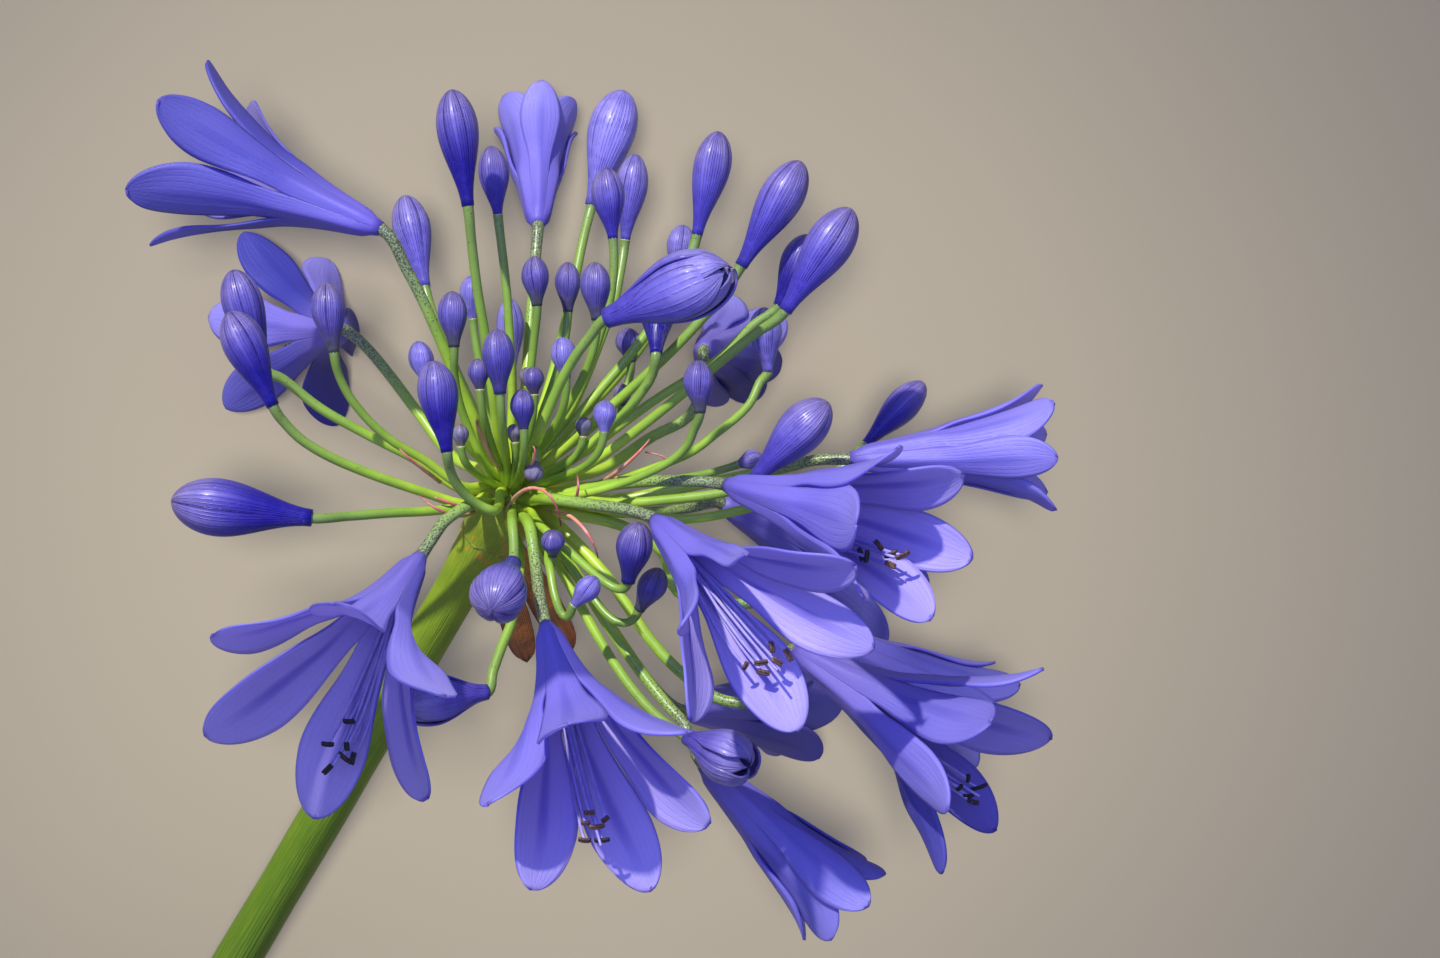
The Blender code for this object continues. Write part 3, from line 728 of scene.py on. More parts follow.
def grow_tepals(shell, trumpet):
    """A grid for each tepal, shaped by the trumpet and merged along the tube's seams."""
    growth = shell.verts.layers.float_vector["growth"]
    for tepal in range(6):
        grid = bmesh.ops.create_grid(
            shell, x_segments=TEPAL_COLUMNS, y_segments=TEPAL_ROWS, size=1.0)
        for vertex in grid["verts"]:
            t = vertex.co.x
            s = 1.0 - (0.5 - 0.5 * vertex.co.y) ** 1.4
            vertex.co = trumpet.point(tepal, s, t)
            vertex[growth] = (abs(t), s, trumpet.tone[tepal])
    bmesh.ops.remove_doubles(shell, verts=shell.verts, dist=0.001)


def find_joint(trumpet, shell):
    """Where the flower meets its pedicel. With no height given, its tips touch down."""
    height = trumpet.flower.height
    if height is None:
        lowest = min((trumpet.rotation @ v.co).z for v in shell.verts)
        height = 0.5 * TEPAL_THICKNESS - lowest
    return place(trumpet.flower.joint, height)


outer_skin = make_tepal_skin("tepal skin outside", [
    (0.0, (0.150, 0.118, 0.48)), (0.10, (0.175, 0.140, 0.51)),
    (0.30, (0.205, 0.176, 0.52)), (0.60, (0.205, 0.182, 0.52)),
    (0.85, (0.265, 0.242, 0.56)), (1.0, (0.270, 0.248, 0.55))],
    (0.012, 0.016, 0.26), 0.30, 0.55, 0.7)
# Inside, the tepals are painted lighter from near the foot to mid-length than at the tips:
# painted light that stands in for light getting into the tube through its walls.
inner_skin = make_tepal_skin("tepal skin inside", [
    (0.0, (0.340, 0.290, 0.62)), (0.20, (0.500, 0.430, 0.72)), (0.40, (0.540, 0.465, 0.74)),
    (0.65, (0.430, 0.365, 0.64)), (0.85, (0.400, 0.340, 0.61)), (1.0, (0.390, 0.340, 0.60))],
    (0.075, 0.060, 0.40), 0.62, 0.50, 0.35)
trumpets = {name: Trumpet(name) for name in FLOWERS}
joints = {}
for name, trumpet in trumpets.items():
    shell = new_shell()
    grow_tepals(shell, trumpet)
    joints[name] = find_joint(trumpet, shell)
    set_down(shell, trumpet.rotation, joints[name])
    # Each grid's faces look out from the start, and the far side gets the next skin.
    piece = finish_piece(name + "_tepals", shell, outer_skin, [name],
                         faces_look_out=True)
    piece.data.materials.append(inner_skin)
    thicken(piece, TEPAL_THICKNESS).material_offset = 1


# Stamens and style. Six pale filaments and one style rise from the closed foot of
# each tube and lie along its lower side. Each filament carries a short anther across
# its end, which ripens from violet-brown to black with a little yellow pollen.

ANTHER_LENGTH = 2.3
ANTHER_WIDTH = 0.95
# A pollen sac's outline: the share of its length, and of its full thickness.
ANTHER_PROFILE = (
    (0.0, 0.35), (0.06, 0.75), (0.16, 0.98), (0.35, 1.0), (0.5, 0.93), (0.65, 1.0),
    (0.84, 0.98), (0.94, 0.75), (1.0, 0.35),
)
FILAMENT_RADIUS = 0.38
STYLE_RADIUS = 0.34
STALK_RINGS = 16
# The ovary's outline: height in the tube, and radius.
OVARY = ((0.4, 0.45), (1.3, 0.75), (3.0, 1.15), (5.0, 1.2), (6.5, 0.8), (7.4, 0.35))
# Where the photo shows the anthers of a flower, their place: a share of its length,
# and mm to the photo's foot and to the side.
ANTHERS_AT = {
    "flower_02": (0.78, 12.0, -2.5),
    "flower_03": (0.82, 7.8, 1.3),
    "flower_04": (0.80, 6.2, 3.2),
    "flower_05": (0.80, 4.6, 2.0),
    "flower_07": (0.83, 5.4, 2.6),
    "flower_08": (0.89, 3.6, -1.0),
}
# The two ends of each anther that the photo shows, and how brown it is: 0 is black.
ANTHERS_SEEN = {
    "flower_02": (((321, 744), (334, 745), 0.1), ((346, 742), (347, 751), 0.0),
                  ((338, 753), (352, 764), 0.2), ((354, 752), (351, 765), 0.0),
                  ((332, 765), (323, 774), 0.1)),
    "flower_03": (((584, 813), (595, 813), 0.9), ((581, 823), (590, 824), 0.5),
                  ((602, 822), (609, 817), 0.7), ((589, 828), (605, 826), 0.95),
                  ((578, 840), (591, 841), 0.4), ((594, 841), (610, 840), 0.15)),
    "flower_04": (((743, 670), (748, 662), 0.7), ((754, 664), (768, 662), 0.7),
                  ((756, 671), (770, 674), 0.8), ((772, 658), (782, 665), 0.8),
                  ((771, 641), (773, 653), 0.7), ((785, 649), (792, 661), 0.9)),
    "flower_05": (((868, 550), (866, 563), 0.1), ((875, 540), (883, 550), 0.3),
                  ((884, 557), (898, 552), 0.8), ((896, 559), (910, 552), 0.8),
                  ((885, 562), (896, 567), 1.0)),
    "flower_07": (((968, 783), (969, 774), 0.0), ((957, 791), (963, 785), 0.0),
                  ((968, 791), (988, 785), 0.0), ((967, 800), (979, 804), 0.2),
                  ((963, 797), (975, 795), 0.1)),
    "flower_08": (((815, 909), (823, 918), 0.0), ((827, 908), (832, 915), 0.0)),
}


def bezier(p0, p1, p2, p3, t):
    """Point at a share t of a curve from p0 to p3, drawn toward p1 and p2."""
    s = 1.0 - t
    return p0 * s ** 3 + p1 * 3.0 * s * s * t + p2 * 3.0 * s * t * t + p3 * t ** 3


def make_filament_skin():
    """Pale green at the foot, then lilac with paler patches."""
    material, tree, shader = new_finish("filament skin", 0.38)
    _, along, _ = growth_of(tree)
    skin = colours_along(tree, along, [
        (0.0, (0.28, 0.32, 0.28)), (0.25, (0.30, 0.27, 0.52)), (1.0, (0.23, 0.20, 0.48))])
    patches = between(tree, cloud(tree, 500.0), 0.35, 0.7)
    skin = tint(tree, patches, skin, (0.38, 0.36, 0.56), 0.4)
    lay_skin(tree, shader, skin, cloud(tree, 2500.0), 0.00008)
    return material


def make_anther_skin():
    """Dry sacs, nearly black or brown, with ochre pollen that clings in grains."""
    material, tree, shader = new_finish("anther skin", 0.62)
    _, _, tone = growth_of(tree)
    skin = tint(tree, between(tree, tone, 0.0, 0.7), (0.004, 0.003, 0.006),
                (0.062, 0.030, 0.026))
    skin = tint(tree, between(tree, tone, 0.8, 1.0), skin, (0.11, 0.050, 0.022))
    pollen = overlap(tree, between(tree, cloud(tree, 2400.0, 2.0), 0.52, 0.64), tone)
    skin = tint(tree, pollen, skin, (0.30, 0.17, 0.06), 0.5)
    lay_skin(tree, shader, skin, cloud(tree, 4200.0), 0.0003)
    return material


def grow_anther(shell, start, end, tone):
    """Two pollen sacs side by side: a short bar, grooved along its length."""
    lay = (end - start).normalized()
    side = lay.cross(UP).normalized()
    over = side.cross(lay)
    for shift in (-1.0, 1.0):
        centres = []
        radii = []
        for along, plump in ANTHER_PROFILE:
            centre = start.lerp(end, along) + side * shift * ANTHER_WIDTH * 0.23
            centres.append(centre - over * 0.2 * (2.0 * along - 1.0) ** 2)
            radii.append(ANTHER_WIDTH * 0.29 * plump)
        grow_rod(shell, centres, radii, 8, over, tone)


def anther_ends(name, trumpet, low, aside, reach):
    """The anthers' ends in the flower's own frame, all at one height above the table."""
    joint = joints[name]
    middle = trumpet.rotation @ (UP * (trumpet.flower.length * reach) + low + aside)
    back = trumpet.rotation.transposed()
    ends = []
    for index, (first, second, tone) in enumerate(ANTHERS_SEEN.get(name, ())):
        height = joint.z + middle.z + 0.5 * math.sin(2.4 * index)
        start, end = (back @ (place(pixel, height) - joint) for pixel in (first, second))
        ends.append((start, end, tone))
    return ends


def grow_filament(shell, trumpet, angle, tip, thick, tone):
    """A stalk from beside the ovary, along the tube's lower side, up to its tip."""
    up = UP * trumpet.flower.length
    reach = tip.z / trumpet.flower.length
    out = tip - up * reach
    root = Vector((math.cos(angle) * 0.6, math.sin(angle) * 0.6, 4.0))
    knee = up * 0.34 + out.normalized() * trumpet.radius_at(0.34) * 0.6
    turn = out * 1.06 + up * (reach - 0.22)
    shares = [k / STALK_RINGS for k in range(STALK_RINGS + 1)]
    centres = [bezier(root, knee, turn, tip, share) for share in shares]
    radii = [thick * (1.0 - 0.35 * share) for share in shares]
    grow_rod(shell, centres, radii, 8, Vector((1.0, 0.0, 0.0)), tone)


def build_stamens(name, trumpet, filament_skin, anther_skin):
    """The ovary, the style and six filaments with their anthers."""
    fall = trumpet.rotation.transposed() @ Vector((0.0, -1.0, 0.0))
    fall.z = 0.0
    fall.normalize()
    beside = UP.cross(fall)
    reach, low, aside = ANTHERS_AT.get(name, (0.76, 0.42 * trumpet.radius_at(0.76), 0.0))
    seen = anther_ends(name, trumpet, fall * low, beside * aside, reach)
    chance = random.Random(name + "stamens")
    up = UP * trumpet.flower.length
    stalks = new_shell()
    anthers = new_shell()
    grow_rod(stalks, [UP * height for height, _ in OVARY],
             [radius for _, radius in OVARY], 16, Vector((1.0, 0.0, 0.0)), 0.2)
    for index in range(7):
        angle = math.radians(60.0 * index + 30.0 + chance.uniform(-10, 10))
        out = Vector((math.cos(angle), math.sin(angle), 0.0))
        is_style = index == 6
        if is_style:
            out = Vector((0.0, 0.0, 0.0))
        length = reach + chance.uniform(-0.045, 0.045) + (0.06 if is_style else 0.0)
        if seen and not is_style:
            length -= 0.10
        loose = min(0.20 * trumpet.radius_at(length), 2.3)
        tip = up * length + fall * low + beside * aside + out * loose
        lay = Vector((-math.sin(angle), math.cos(angle), chance.uniform(-0.5, 0.5)))
        half = lay.normalized() * 0.5 * ANTHER_LENGTH
        start, end, tone = tip - half, tip + half, seen[0][2] if seen else 0.7
        if index < len(seen):
            start, end, tone = seen[index]
            tip = (start + end) * 0.5
        thick = STYLE_RADIUS if is_style else FILAMENT_RADIUS
        grow_filament(stalks, trumpet, angle, tip, thick, chance.random())
        if not is_style:
            grow_anther(anthers, start, end, tone)
    for part, shell, skin in (("_filaments", stalks, filament_skin),
                              ("_anthers", anthers, anther_skin)):
        set_down(shell, trumpet.rotation, joints[name])
        finish_piece(name + part, shell, skin, [name])


filament_skin = make_filament_skin()
anther_skin = make_anther_skin()
for name, trumpet in trumpets.items():
    build_stamens(name, trumpet, filament_skin, anther_skin)


# Buds. Six tepals still pressed shut, with a seam between each two, glossy and deep
# blue at the foot and greyish lilac at the tip. Each is one soft body on its pedicel.

# joint: pixel where the pedicel ends. plump: 0 is a small round bud, 1 is a long one
# about to open.
Bud = namedtuple("Bud", "joint height bearing rise length width plump")
BUDS = {
    "bud_01": Bud((468, 206), 103, 98, 0, 19.5, 7.0, 1.0),
    "bud_02": Bud((498, 216), 85, 96, 0, 12.0, 5.3, 0.6),
    "bud_03": Bud((592, 205), 45, 75, -10, 22.1, 8.7, 1.0),
    "bud_04": Bud((613, 239), 80, 96, 0, 12.3, 5.8, 0.6),
    "bud_05": Bud((625, 241), 55, 83, 0, 15.6, 5.8, 0.8),
    "bud_06": Bud((697, 235), 75, 78, 0, 18.3, 6.5, 1.0),
    "bud_07": Bud((741, 266), 90, 60, 0, 20.4, 7.5, 1.0),
    "bud_08": Bud((785, 311), 104, 57, 0, 20.2, 7.9, 1.0),
    "bud_09": Bud((778, 306), 84, 66, 0, 13.3, 6.1, 0.8),
    "bud_10": Bud((675, 275), 60, 80, 0, 9.0, 5.0, 0.5),
    "bud_11": Bud((607, 318), 108, 21, 20, 23.1, 10.6, 1.0),
    "bud_12": Bud((656, 355), 94, 88, -35, 17.1, 7.0, 1.0),
    "bud_13": Bud((537, 306), 88, 93, 0, 8.5, 4.7, 0.3),
    "bud_14": Bud((568, 312), 80, 90, 0, 8.6, 4.4, 0.3),
    "bud_15": Bud((597, 320), 90, 92, 0, 9.8, 5.2, 0.4),
    "bud_16": Bud((454, 347), 94, 92, 0, 9.4, 5.0, 0.4),
    "bud_17": Bud((473, 320), 78, 94, 0, 7.6, 4.0, 0.3),
    "bud_18": Bud((334, 353), 100, 97, 0, 11.8, 5.7, 0.5),
    "bud_19": Bud((265, 370), 90, 108, 0, 17.8, 7.0, 1.0),
    "bud_20": Bud((273, 406), 104, 115, 0, 17.2, 7.3, 1.0),
    "bud_21": Bud((447, 452), 112, 99, 0, 15.1, 6.7, 0.9),
    "bud_22": Bud((428, 385), 92, 104, 0, 7.6, 4.3, 0.3),
    "bud_23": Bud((500, 394), 105, 93, 0, 10.8, 5.4, 0.4),
    "bud_24": Bud((524, 430), 102, 93, 0, 6.8, 4.1, 0.2),
    "bud_25": Bud((566, 378), 95, 96, 0, 6.9, 4.4, 0.2),
    "bud_26": Bud((631, 362), 70, 97, 0, 6.0, 4.6, 0.2),
    "bud_27": Bud((700, 413), 108, 92, 0, 8.7, 5.0, 0.3),
    "bud_28": Bud((604, 433), 98, 87, 0, 5.5, 4.0, 0.2),
    "bud_29": Bud((534, 396), 88, 92, 0, 5.0, 3.6, 0.2),
    "bud_30": Bud((480, 391), 102, 94, 0, 5.4, 3.6, 0.2),
    "bud_31": Bud((553, 556), 103, 90, 30, 4.9, 4.0, 0.1),
    "bud_32": Bud((312, 518), 103, 173, 0, 23.5, 9.7, 1.0),
    "bud_33": Bud((513, 563), 106, 250, 62, 16.4, 9.4, 1.0),
    "bud_34": Bud((628, 582), 108, 79, 20, 10.6, 6.1, 0.4),
    "bud_35": Bud((639, 610), 100, 62, 15, 8.1, 4.9, 0.3),
    "bud_36": Bud((573, 606), 108, 50, 10, 6.3, 4.0, 0.3),
    "bud_37": Bud((687, 737), 108, 336, 30, 13.4, 8.0, 1.0),
    "bud_38": Bud((487, 692), 103, 187, 20, 15.0, 7.7, 1.0),
    "bud_39": Bud((753, 480), 93, 46, 10, 18.4, 8.0, 1.0),
    "bud_40": Bud((864, 446), 72, 46, -25, 17.0, 5.8, 1.0),
    "bud_41": Bud((768, 372), 50, 94, 0, 11.6, 6.1, 0.6),
    "bud_42": Bud((425, 287), 60, 104, -20, 18.1, 6.8, 1.0),
    "bud_43": Bud((737, 465), 60, 20, 0, 4.8, 3.7, 0.2),
}
# Buds that show only in part, deep among the pedicels. Most are the youngest.
YOUNGEST = {
    "youngest_bud_01": Bud((536, 460), 96, 262, 15, 3.8, 3.3, 0.1),
    "youngest_bud_02": Bud((461, 448), 92, 92, 0, 4.0, 2.9, 0.1),
    "youngest_bud_03": Bud((515, 444), 92, 95, 0, 3.4, 2.6, 0.1),
    "youngest_bud_04": Bud((583, 438), 88, 88, 0, 3.6, 2.9, 0.1),
    "youngest_bud_05": Bud((528, 388), 84, 92, 0, 3.6, 2.9, 0.1),
    "youngest_bud_06": Bud((622, 408), 78, 90, 0, 4.2, 3.1, 0.1),
    "youngest_bud_07": Bud((512, 372), 60, 92, 0, 13.0, 5.0, 0.6),
}
# Buds about to open: the mouth's width as a share of the bud's, and the roll.
OPENING = {
    "bud_11": (0.05, 20.0), "bud_37": (0.14, 75.0), "bud_38": (0.30, 0.0),
}
# How much deeper blue a bud is than the rest, to 1, or paler, to -1. The deeper blue
# is partly the bud's own colour and partly painted shade on buds that hang in shade.
DEEPER_AND_SHADED_BUDS = {
    "bud_01": 0.9, "bud_02": 0.4, "bud_04": 0.4, "bud_07": 0.3, "bud_08": 0.3, "bud_09": 0.7,
    "bud_12": 1.0, "bud_19": 0.7, "bud_20": 0.95, "bud_21": 1.0, "bud_23": 0.5, "bud_24": 0.5,
    "bud_32": 0.9, "bud_33": 0.4, "bud_34": 0.7, "bud_40": 0.7, "bud_06": 0.1, "bud_18": 0.2,
    "bud_03": -0.8, "bud_05": -0.4, "bud_10": -0.9, "bud_17": -0.9, "bud_22": -0.9,
    "bud_25": -0.8, "bud_26": -0.3, "bud_28": -0.8, "bud_36": -0.8, "bud_41": -0.6,
    "bud_42": -0.4, "bud_43": -0.6, "youngest_bud_07": -1.0,
}
OPENING_THICKNESS = 0.4
BUD_SIDES = 36
BUD_RINGS = 26


def bud_radius(bud, s):
    """A narrow foot that swells to the widest place, then rounds off to the tip."""
    peak = 0.55 + 0.12 * bud.plump
    foot = 0.5 * bud.width * (0.38 if bud.plump < 0.5 else 0.30)
    swell = foot + (0.5 * bud.width - foot) * ease(s, 0.0, peak)
    return swell * round_off(s, peak, 2.0, 0.56)


def make_bud_skin(name, stops, roughness, seam_depth=0.8):
    """Skin of a bud: colour along it, a dark line in each seam, pale ribs."""
    material, tree, shader = new_finish(name, roughness)
    across, along, tone = growth_of(tree)
    skin = colours_along(tree, along, stops)
    # Deep blue from the foot up by the bud's deeper value, partly its own colour and partly
    # painted shade.
    deep = overlap(tree, between(tree, tone, 0.0, 1.0), between(tree, along, 1.0, 0.3))
    skin = tint(tree, deep, skin, (0.005, 0.002, 0.15), 0.95)
    skin = tint(tree, between(tree, tone, 0.0, -1.0), skin, (0.21, 0.185, 0.46), 0.8)
    lines = veined(tree, across, 4.0, 2.5)
    upper = between(tree, along, 0.35, 0.85)
    skin = tint(tree, overlap(tree, lines, upper), skin, (0.30, 0.26, 0.44), 0.24)
    # A pale crest down each tepal's middle, partly its own paler colour and partly painted
    # highlight on the ridge. A dark line in each seam, partly its own deep colour and partly
    # painted shade in the crease.
    crest = between(tree, across, 0.22, 0.0)
    skin = tint(tree, overlap(tree, crest, upper), skin, (0.28, 0.24, 0.42), 0.30)
    seam = overlap(tree, between(tree, across, 0.78, 0.98), between(tree, along, 0.2, 0.6))
    skin = tint(tree, seam, skin, (0.012, 0.007, 0.10), seam_depth)
    skin = tint(tree, between(tree, cloud(tree, 330.0), 0.42, 0.68), skin,
                (0.035, 0.024, 0.20), 0.35)
    shader.inputs["Specular IOR Level"].default_value = 0.27
    shader.inputs["Coat Weight"].default_value = 0.03
    shader.inputs["Coat Roughness"].default_value = 0.15
    lay_skin(tree, shader, skin, lines, 0.00012)
    return material


def build_bud(name, bud, material, nodes):
    """A rod of many rings, furrowed along six seams, on the end of its pedicel."""
    chance = random.Random(name)
    shell = new_shell()
    growth = shell.verts.layers.float_vector["growth"]
    shares = [1.0 - (1.0 - k / BUD_RINGS) ** 1.5 for k in range(BUD_RINGS)] + [0.9985]
    centres = [UP * (bud.length * s) for s in shares]
    radii = [bud_radius(bud, s) for s in shares]
    rings = grow_rod(shell, centres, radii, BUD_SIDES, Vector((1.0, 0.0, 0.0)))
    start = chance.uniform(0.0, 60.0)
    spiral = chance.uniform(-24.0, 24.0)
    open_seams = [chance.uniform(0.25, 0.8) for _ in range(6)]
    open_seams[chance.randrange(6)] = 1.0
    deeper_and_shaded = DEEPER_AND_SHADED_BUDS.get(name, chance.uniform(0.0, 0.2))
    for ring, s in zip(rings, shares):
        furrow = ease(s, 0.04, 0.35) * (0.075 + 0.07 * ease(s, 0.6, 0.95))
        for k, vertex in enumerate(ring):
            seam = abs(1.0 - (k % 6) / 3.0)
            gape = open_seams[((k + 3) // 6) % 6]
            outer = 1.0 if (k // 6) % 2 else -1.0
            layer = outer * 0.035 * ease(s, 0.2, 0.6) * (1.0 - seam ** 2)
            vertex.co.xy *= 1.0 - furrow * gape * seam ** 4 + layer
            vertex[growth] = (seam * (0.84 + 0.16 * gape), s, deeper_and_shaded)
        turn = Matrix.Rotation(math.radians(start + spiral * s), 3, "Z")
        bmesh.ops.rotate(shell, cent=(0, 0, 0), matrix=turn, verts=ring)
    set_down(shell, turned(bud.bearing, bud.rise, 0.0), place(bud.joint, bud.height))
    finish_piece(name + "_skin", shell, material, nodes)


def grow_opening_tepals(shell, bud, mouth, depth, chance):
    """Three tepals lapped over three more, drawn in at the tips but not yet shut."""
    growth = shell.verts.layers.float_vector["growth"]
    for tepal in range(6):
        outer = tepal % 2 == 0
        layer = chance.uniform(0.2, 0.35) if outer else -0.2
        swing = chance.uniform(-7.0, 7.0)
        reach = chance.uniform(0.94, 1.02)
        phase = chance.uniform(0.0, 6.3)
        grid = bmesh.ops.create_grid(shell, x_segments=12, y_segments=30, size=1.0)
        for vertex in grid["verts"]:
            t = vertex.co.x
            s = 1.0 - (0.5 - 0.5 * vertex.co.y) ** 1.4
            free = ease(s, 0.08, 0.45)
            half = 30.0 + (19.0 if outer else 10.0) * free
            half *= round_off(s, 0.76, 2.4)
            foot = 0.15 * bud.width
            radius = foot + (0.5 * bud.width - foot) * ease(s, 0.0, 0.64)
            radius *= mouth + (1.0 - mouth) * round_off(s, 0.64, 2.1)
            edge = abs(t) ** 3 * (0.10 + 0.14 * math.sin(7.0 * s + phase + t))
            rib = 0.12 * math.exp(-((t / 0.15) ** 2))
            radius += free * (layer + rib + (edge if outer else -edge))
            angle = math.radians(60.0 * tepal + half * t + swing * free * s)
            rise = bud.length * (s + (reach - 1.0) * ease(s, 0.4, 1.0))
            vertex.co = (radius * math.cos(angle), radius * math.sin(angle), rise)
            vertex[growth] = (abs(t), s, depth)
    bmesh.ops.remove_doubles(shell, verts=shell.verts, dist=0.001)
    foot = [edge for edge in shell.edges
            if edge.is_boundary and all(v.co.z < 0.001 for v in edge.verts)]
    bmesh.ops.edgeloop_fill(shell, edges=foot)


def build_opening_bud(name, bud, material):
    """A bud of six loose tepals, on the end of its pedicel."""
    mouth, roll = OPENING[name]
    shell = new_shell()
    depth = DEEPER_AND_SHADED_BUDS.get(name, 0.1)
    grow_opening_tepals(shell, bud, mouth, depth, random.Random(name))
    set_down(shell, turned(bud.bearing, bud.rise, roll), place(bud.joint, bud.height))
    piece = finish_piece(name + "_tepals", shell, material, [name])
    thicken(piece, OPENING_THICKNESS)


grown_bud_skin = make_bud_skin("grown bud skin", [
    (0.0, (0.050, 0.040, 0.29)), (0.28, (0.062, 0.049, 0.30)), (0.52, (0.100, 0.083, 0.33)),
    (0.78, (0.148, 0.122, 0.29)), (1.0, (0.120, 0.098, 0.21))], 0.36)
young_bud_skin = make_bud_skin("young bud skin", [
    (0.0, (0.060, 0.065, 0.045)), (0.16, (0.070, 0.066, 0.085)), (0.38, (0.078, 0.064, 0.21)),
    (0.65, (0.105, 0.088, 0.26)), (1.0, (0.125, 0.100, 0.17))], 0.40)
youngest_bud_skin = make_bud_skin("youngest bud skin", [
    (0.0, (0.10, 0.13, 0.04)), (0.3, (0.15, 0.15, 0.14)), (0.8, (0.20, 0.18, 0.24)),
    (1.0, (0.18, 0.12, 0.10))], 0.48, 0.5)
opening_bud_skin = make_bud_skin("opening bud skin", [
    (0.0, (0.060, 0.048, 0.28)), (0.25, (0.070, 0.056, 0.30)), (0.5, (0.110, 0.093, 0.34)),
    (0.8, (0.170, 0.150, 0.36)), (1.0, (0.180, 0.160, 0.34))], 0.40, 0.35)
for name, bud in BUDS.items():
    if name in OPENING:
        build_opening_bud(name, bud, opening_bud_skin)
    else:
        skin = grown_bud_skin if bud.plump > 0.5 else young_bud_skin
        build_bud(name, bud, skin, [name])
for name, bud in YOUNGEST.items():
    skin = youngest_bud_skin if bud.plump < 0.5 else young_bud_skin
    build_bud(name, bud, skin, ["stalk"])


# Pedicels. The thin green stalks that carry the flowers and buds. Each grows from
# deep in the dome, bends round to meet its flower, and ends in a pale ring at the
# joint. Those of open flowers are flecked with purple-grey near the joint.

FLOWER_PEDICEL_RADIUS = 1.0
BUD_PEDICEL_RADIUS = 0.66
GROWN_BUD_EXTRA = 0.19
ROOT_DEPTH = 0.55
JOINT_OVERLAP = 0.3
PEDICEL_SIDES = 10
PEDICEL_RINGS = 26
# Pixels of the photo that a pedicel passes on its way in from its joint.
PASSING = {
    "flower_01": ((407, 270), (430, 316), (462, 392)),
    "flower_02": ((432, 539), (446, 520), (470, 505)),
    "flower_03": ((539, 592), (535, 560), (529, 525)),
    "flower_04": ((628, 510), (586, 504), (550, 499)),
    "flower_05": ((688, 481), (640, 482), (592, 488), (556, 497)),
    "flower_06": ((816, 460), (784, 468), (700, 484), (610, 500)),
    "flower_07": ((764, 697), (726, 701), (690, 680), (652, 642), (598, 566)),
    "flower_08": ((684, 724), (668, 706), (638, 668), (610, 628), (566, 560)),
    "flower_09": ((536, 252), (530, 330), (522, 430)),
    "flower_10": ((785, 603), (730, 604), (678, 592), (662, 552), (620, 525)),
    "flower_11": ((364, 345), (388, 373), (419, 414), (452, 456)),
    "flower_12": ((702, 385), (689, 416), (653, 436), (600, 470)),
    "flower_14": ((689, 508), (655, 512), (610, 512)),
    "bud_01": ((472, 246), (478, 294), (485, 334), (496, 420)),
    "bud_02": ((504, 266), (508, 308), (512, 400)),
    "bud_03": ((583, 240), (574, 284), (548, 390)),
    "bud_04": ((613, 280), (604, 322), (570, 410)),
    "bud_05": ((619, 280), (611, 312), (566, 420)),
    "bud_08": ((752, 336), (714, 367), (650, 420), (580, 470)),
    "bud_09": ((752, 326), (720, 358), (652, 402), (584, 452)),
    "bud_11": ((589, 338), (573, 360), (558, 388), (536, 440)),
    "bud_12": ((652, 375), (640, 394), (622, 416), (570, 460)),
    "bud_13": ((534, 340), (524, 420)),
    "bud_16": ((455, 380), (463, 414), (484, 462)),
    "bud_18": ((340, 378), (357, 407), (388, 438), (426, 461), (462, 486)),
    "bud_19": ((283, 379), (320, 408), (364, 433), (420, 462), (460, 488)),
    "bud_20": ((282, 420), (306, 443), (350, 466), (429, 494), (470, 505)),
    "bud_21": ((450, 470), (460, 489), (477, 504), (494, 511)),
    "bud_27": ((694, 430), (686, 447), (666, 464), (620, 484), (570, 496)),
    "bud_32": ((350, 516), (390, 513), (430, 511), (470, 506)),
    "bud_33": ((514, 545), (512, 522)),
    "bud_34": ((622, 589), (606, 583), (574, 556), (545, 530)),
    "bud_35": ((629, 622), (612, 619), (592, 596), (560, 552)),
    "bud_36": ((566, 617), (556, 600), (548, 562)),
    "bud_38": ((493, 671), (502, 646), (512, 620), (520, 560)),
    "bud_39": ((739, 486), (722, 493), (665, 500), (620, 503)),
    "bud_40": ((848, 464), (816, 484), (780, 498), (741, 510), (687, 519), (640, 515),
               (580, 505)),
    "bud_41": ((760, 382), (748, 406), (718, 432), (684, 456), (600, 484)),
}


def make_pedicel_skin():
    """Yellow-green at the root, greener outward, flecked and greyed near the joint."""
    material, tree, shader = new_finish("pedicel skin", 0.36)
    _, along, tone = growth_of(tree)
    near_joint = overlap(tree, between(tree, along, 0.35, 0.90), tone)
    patches, dots = place_group(tree, mottle, near_joint)
    # Brightest yellow-green at the root: partly the stalk's own colour, partly painted light
    # that lifts the shade among the crowded feet at the dome.
    green = colours_along(tree, along, [
        (0.0, (0.62, 0.66, 0.04)), (0.2, (0.38, 0.56, 0.035)), (0.55, (0.22, 0.38, 0.030)),
        (0.90, (0.14, 0.24, 0.024)), (0.970, (0.12, 0.19, 0.024)), (0.982, (0.40, 0.38, 0.12)),
        (1.0, (0.30, 0.28, 0.12))])
    green = tint(tree, patches, green, (0.08, 0.18, 0.012), 0.35)
    grey = overlap(tree, between(tree, along, 0.45, 0.90), tone)
    grey = overlap(tree, grey, between(tree, along, 0.985, 0.97))
    green = tint(tree, grey, green, (0.24, 0.28, 0.14), 0.60)
    green = tint(tree, dots, green, (0.028, 0.020, 0.035), 0.75)
    lay_skin(tree, shader, green, dots, 0.00008)
    return material


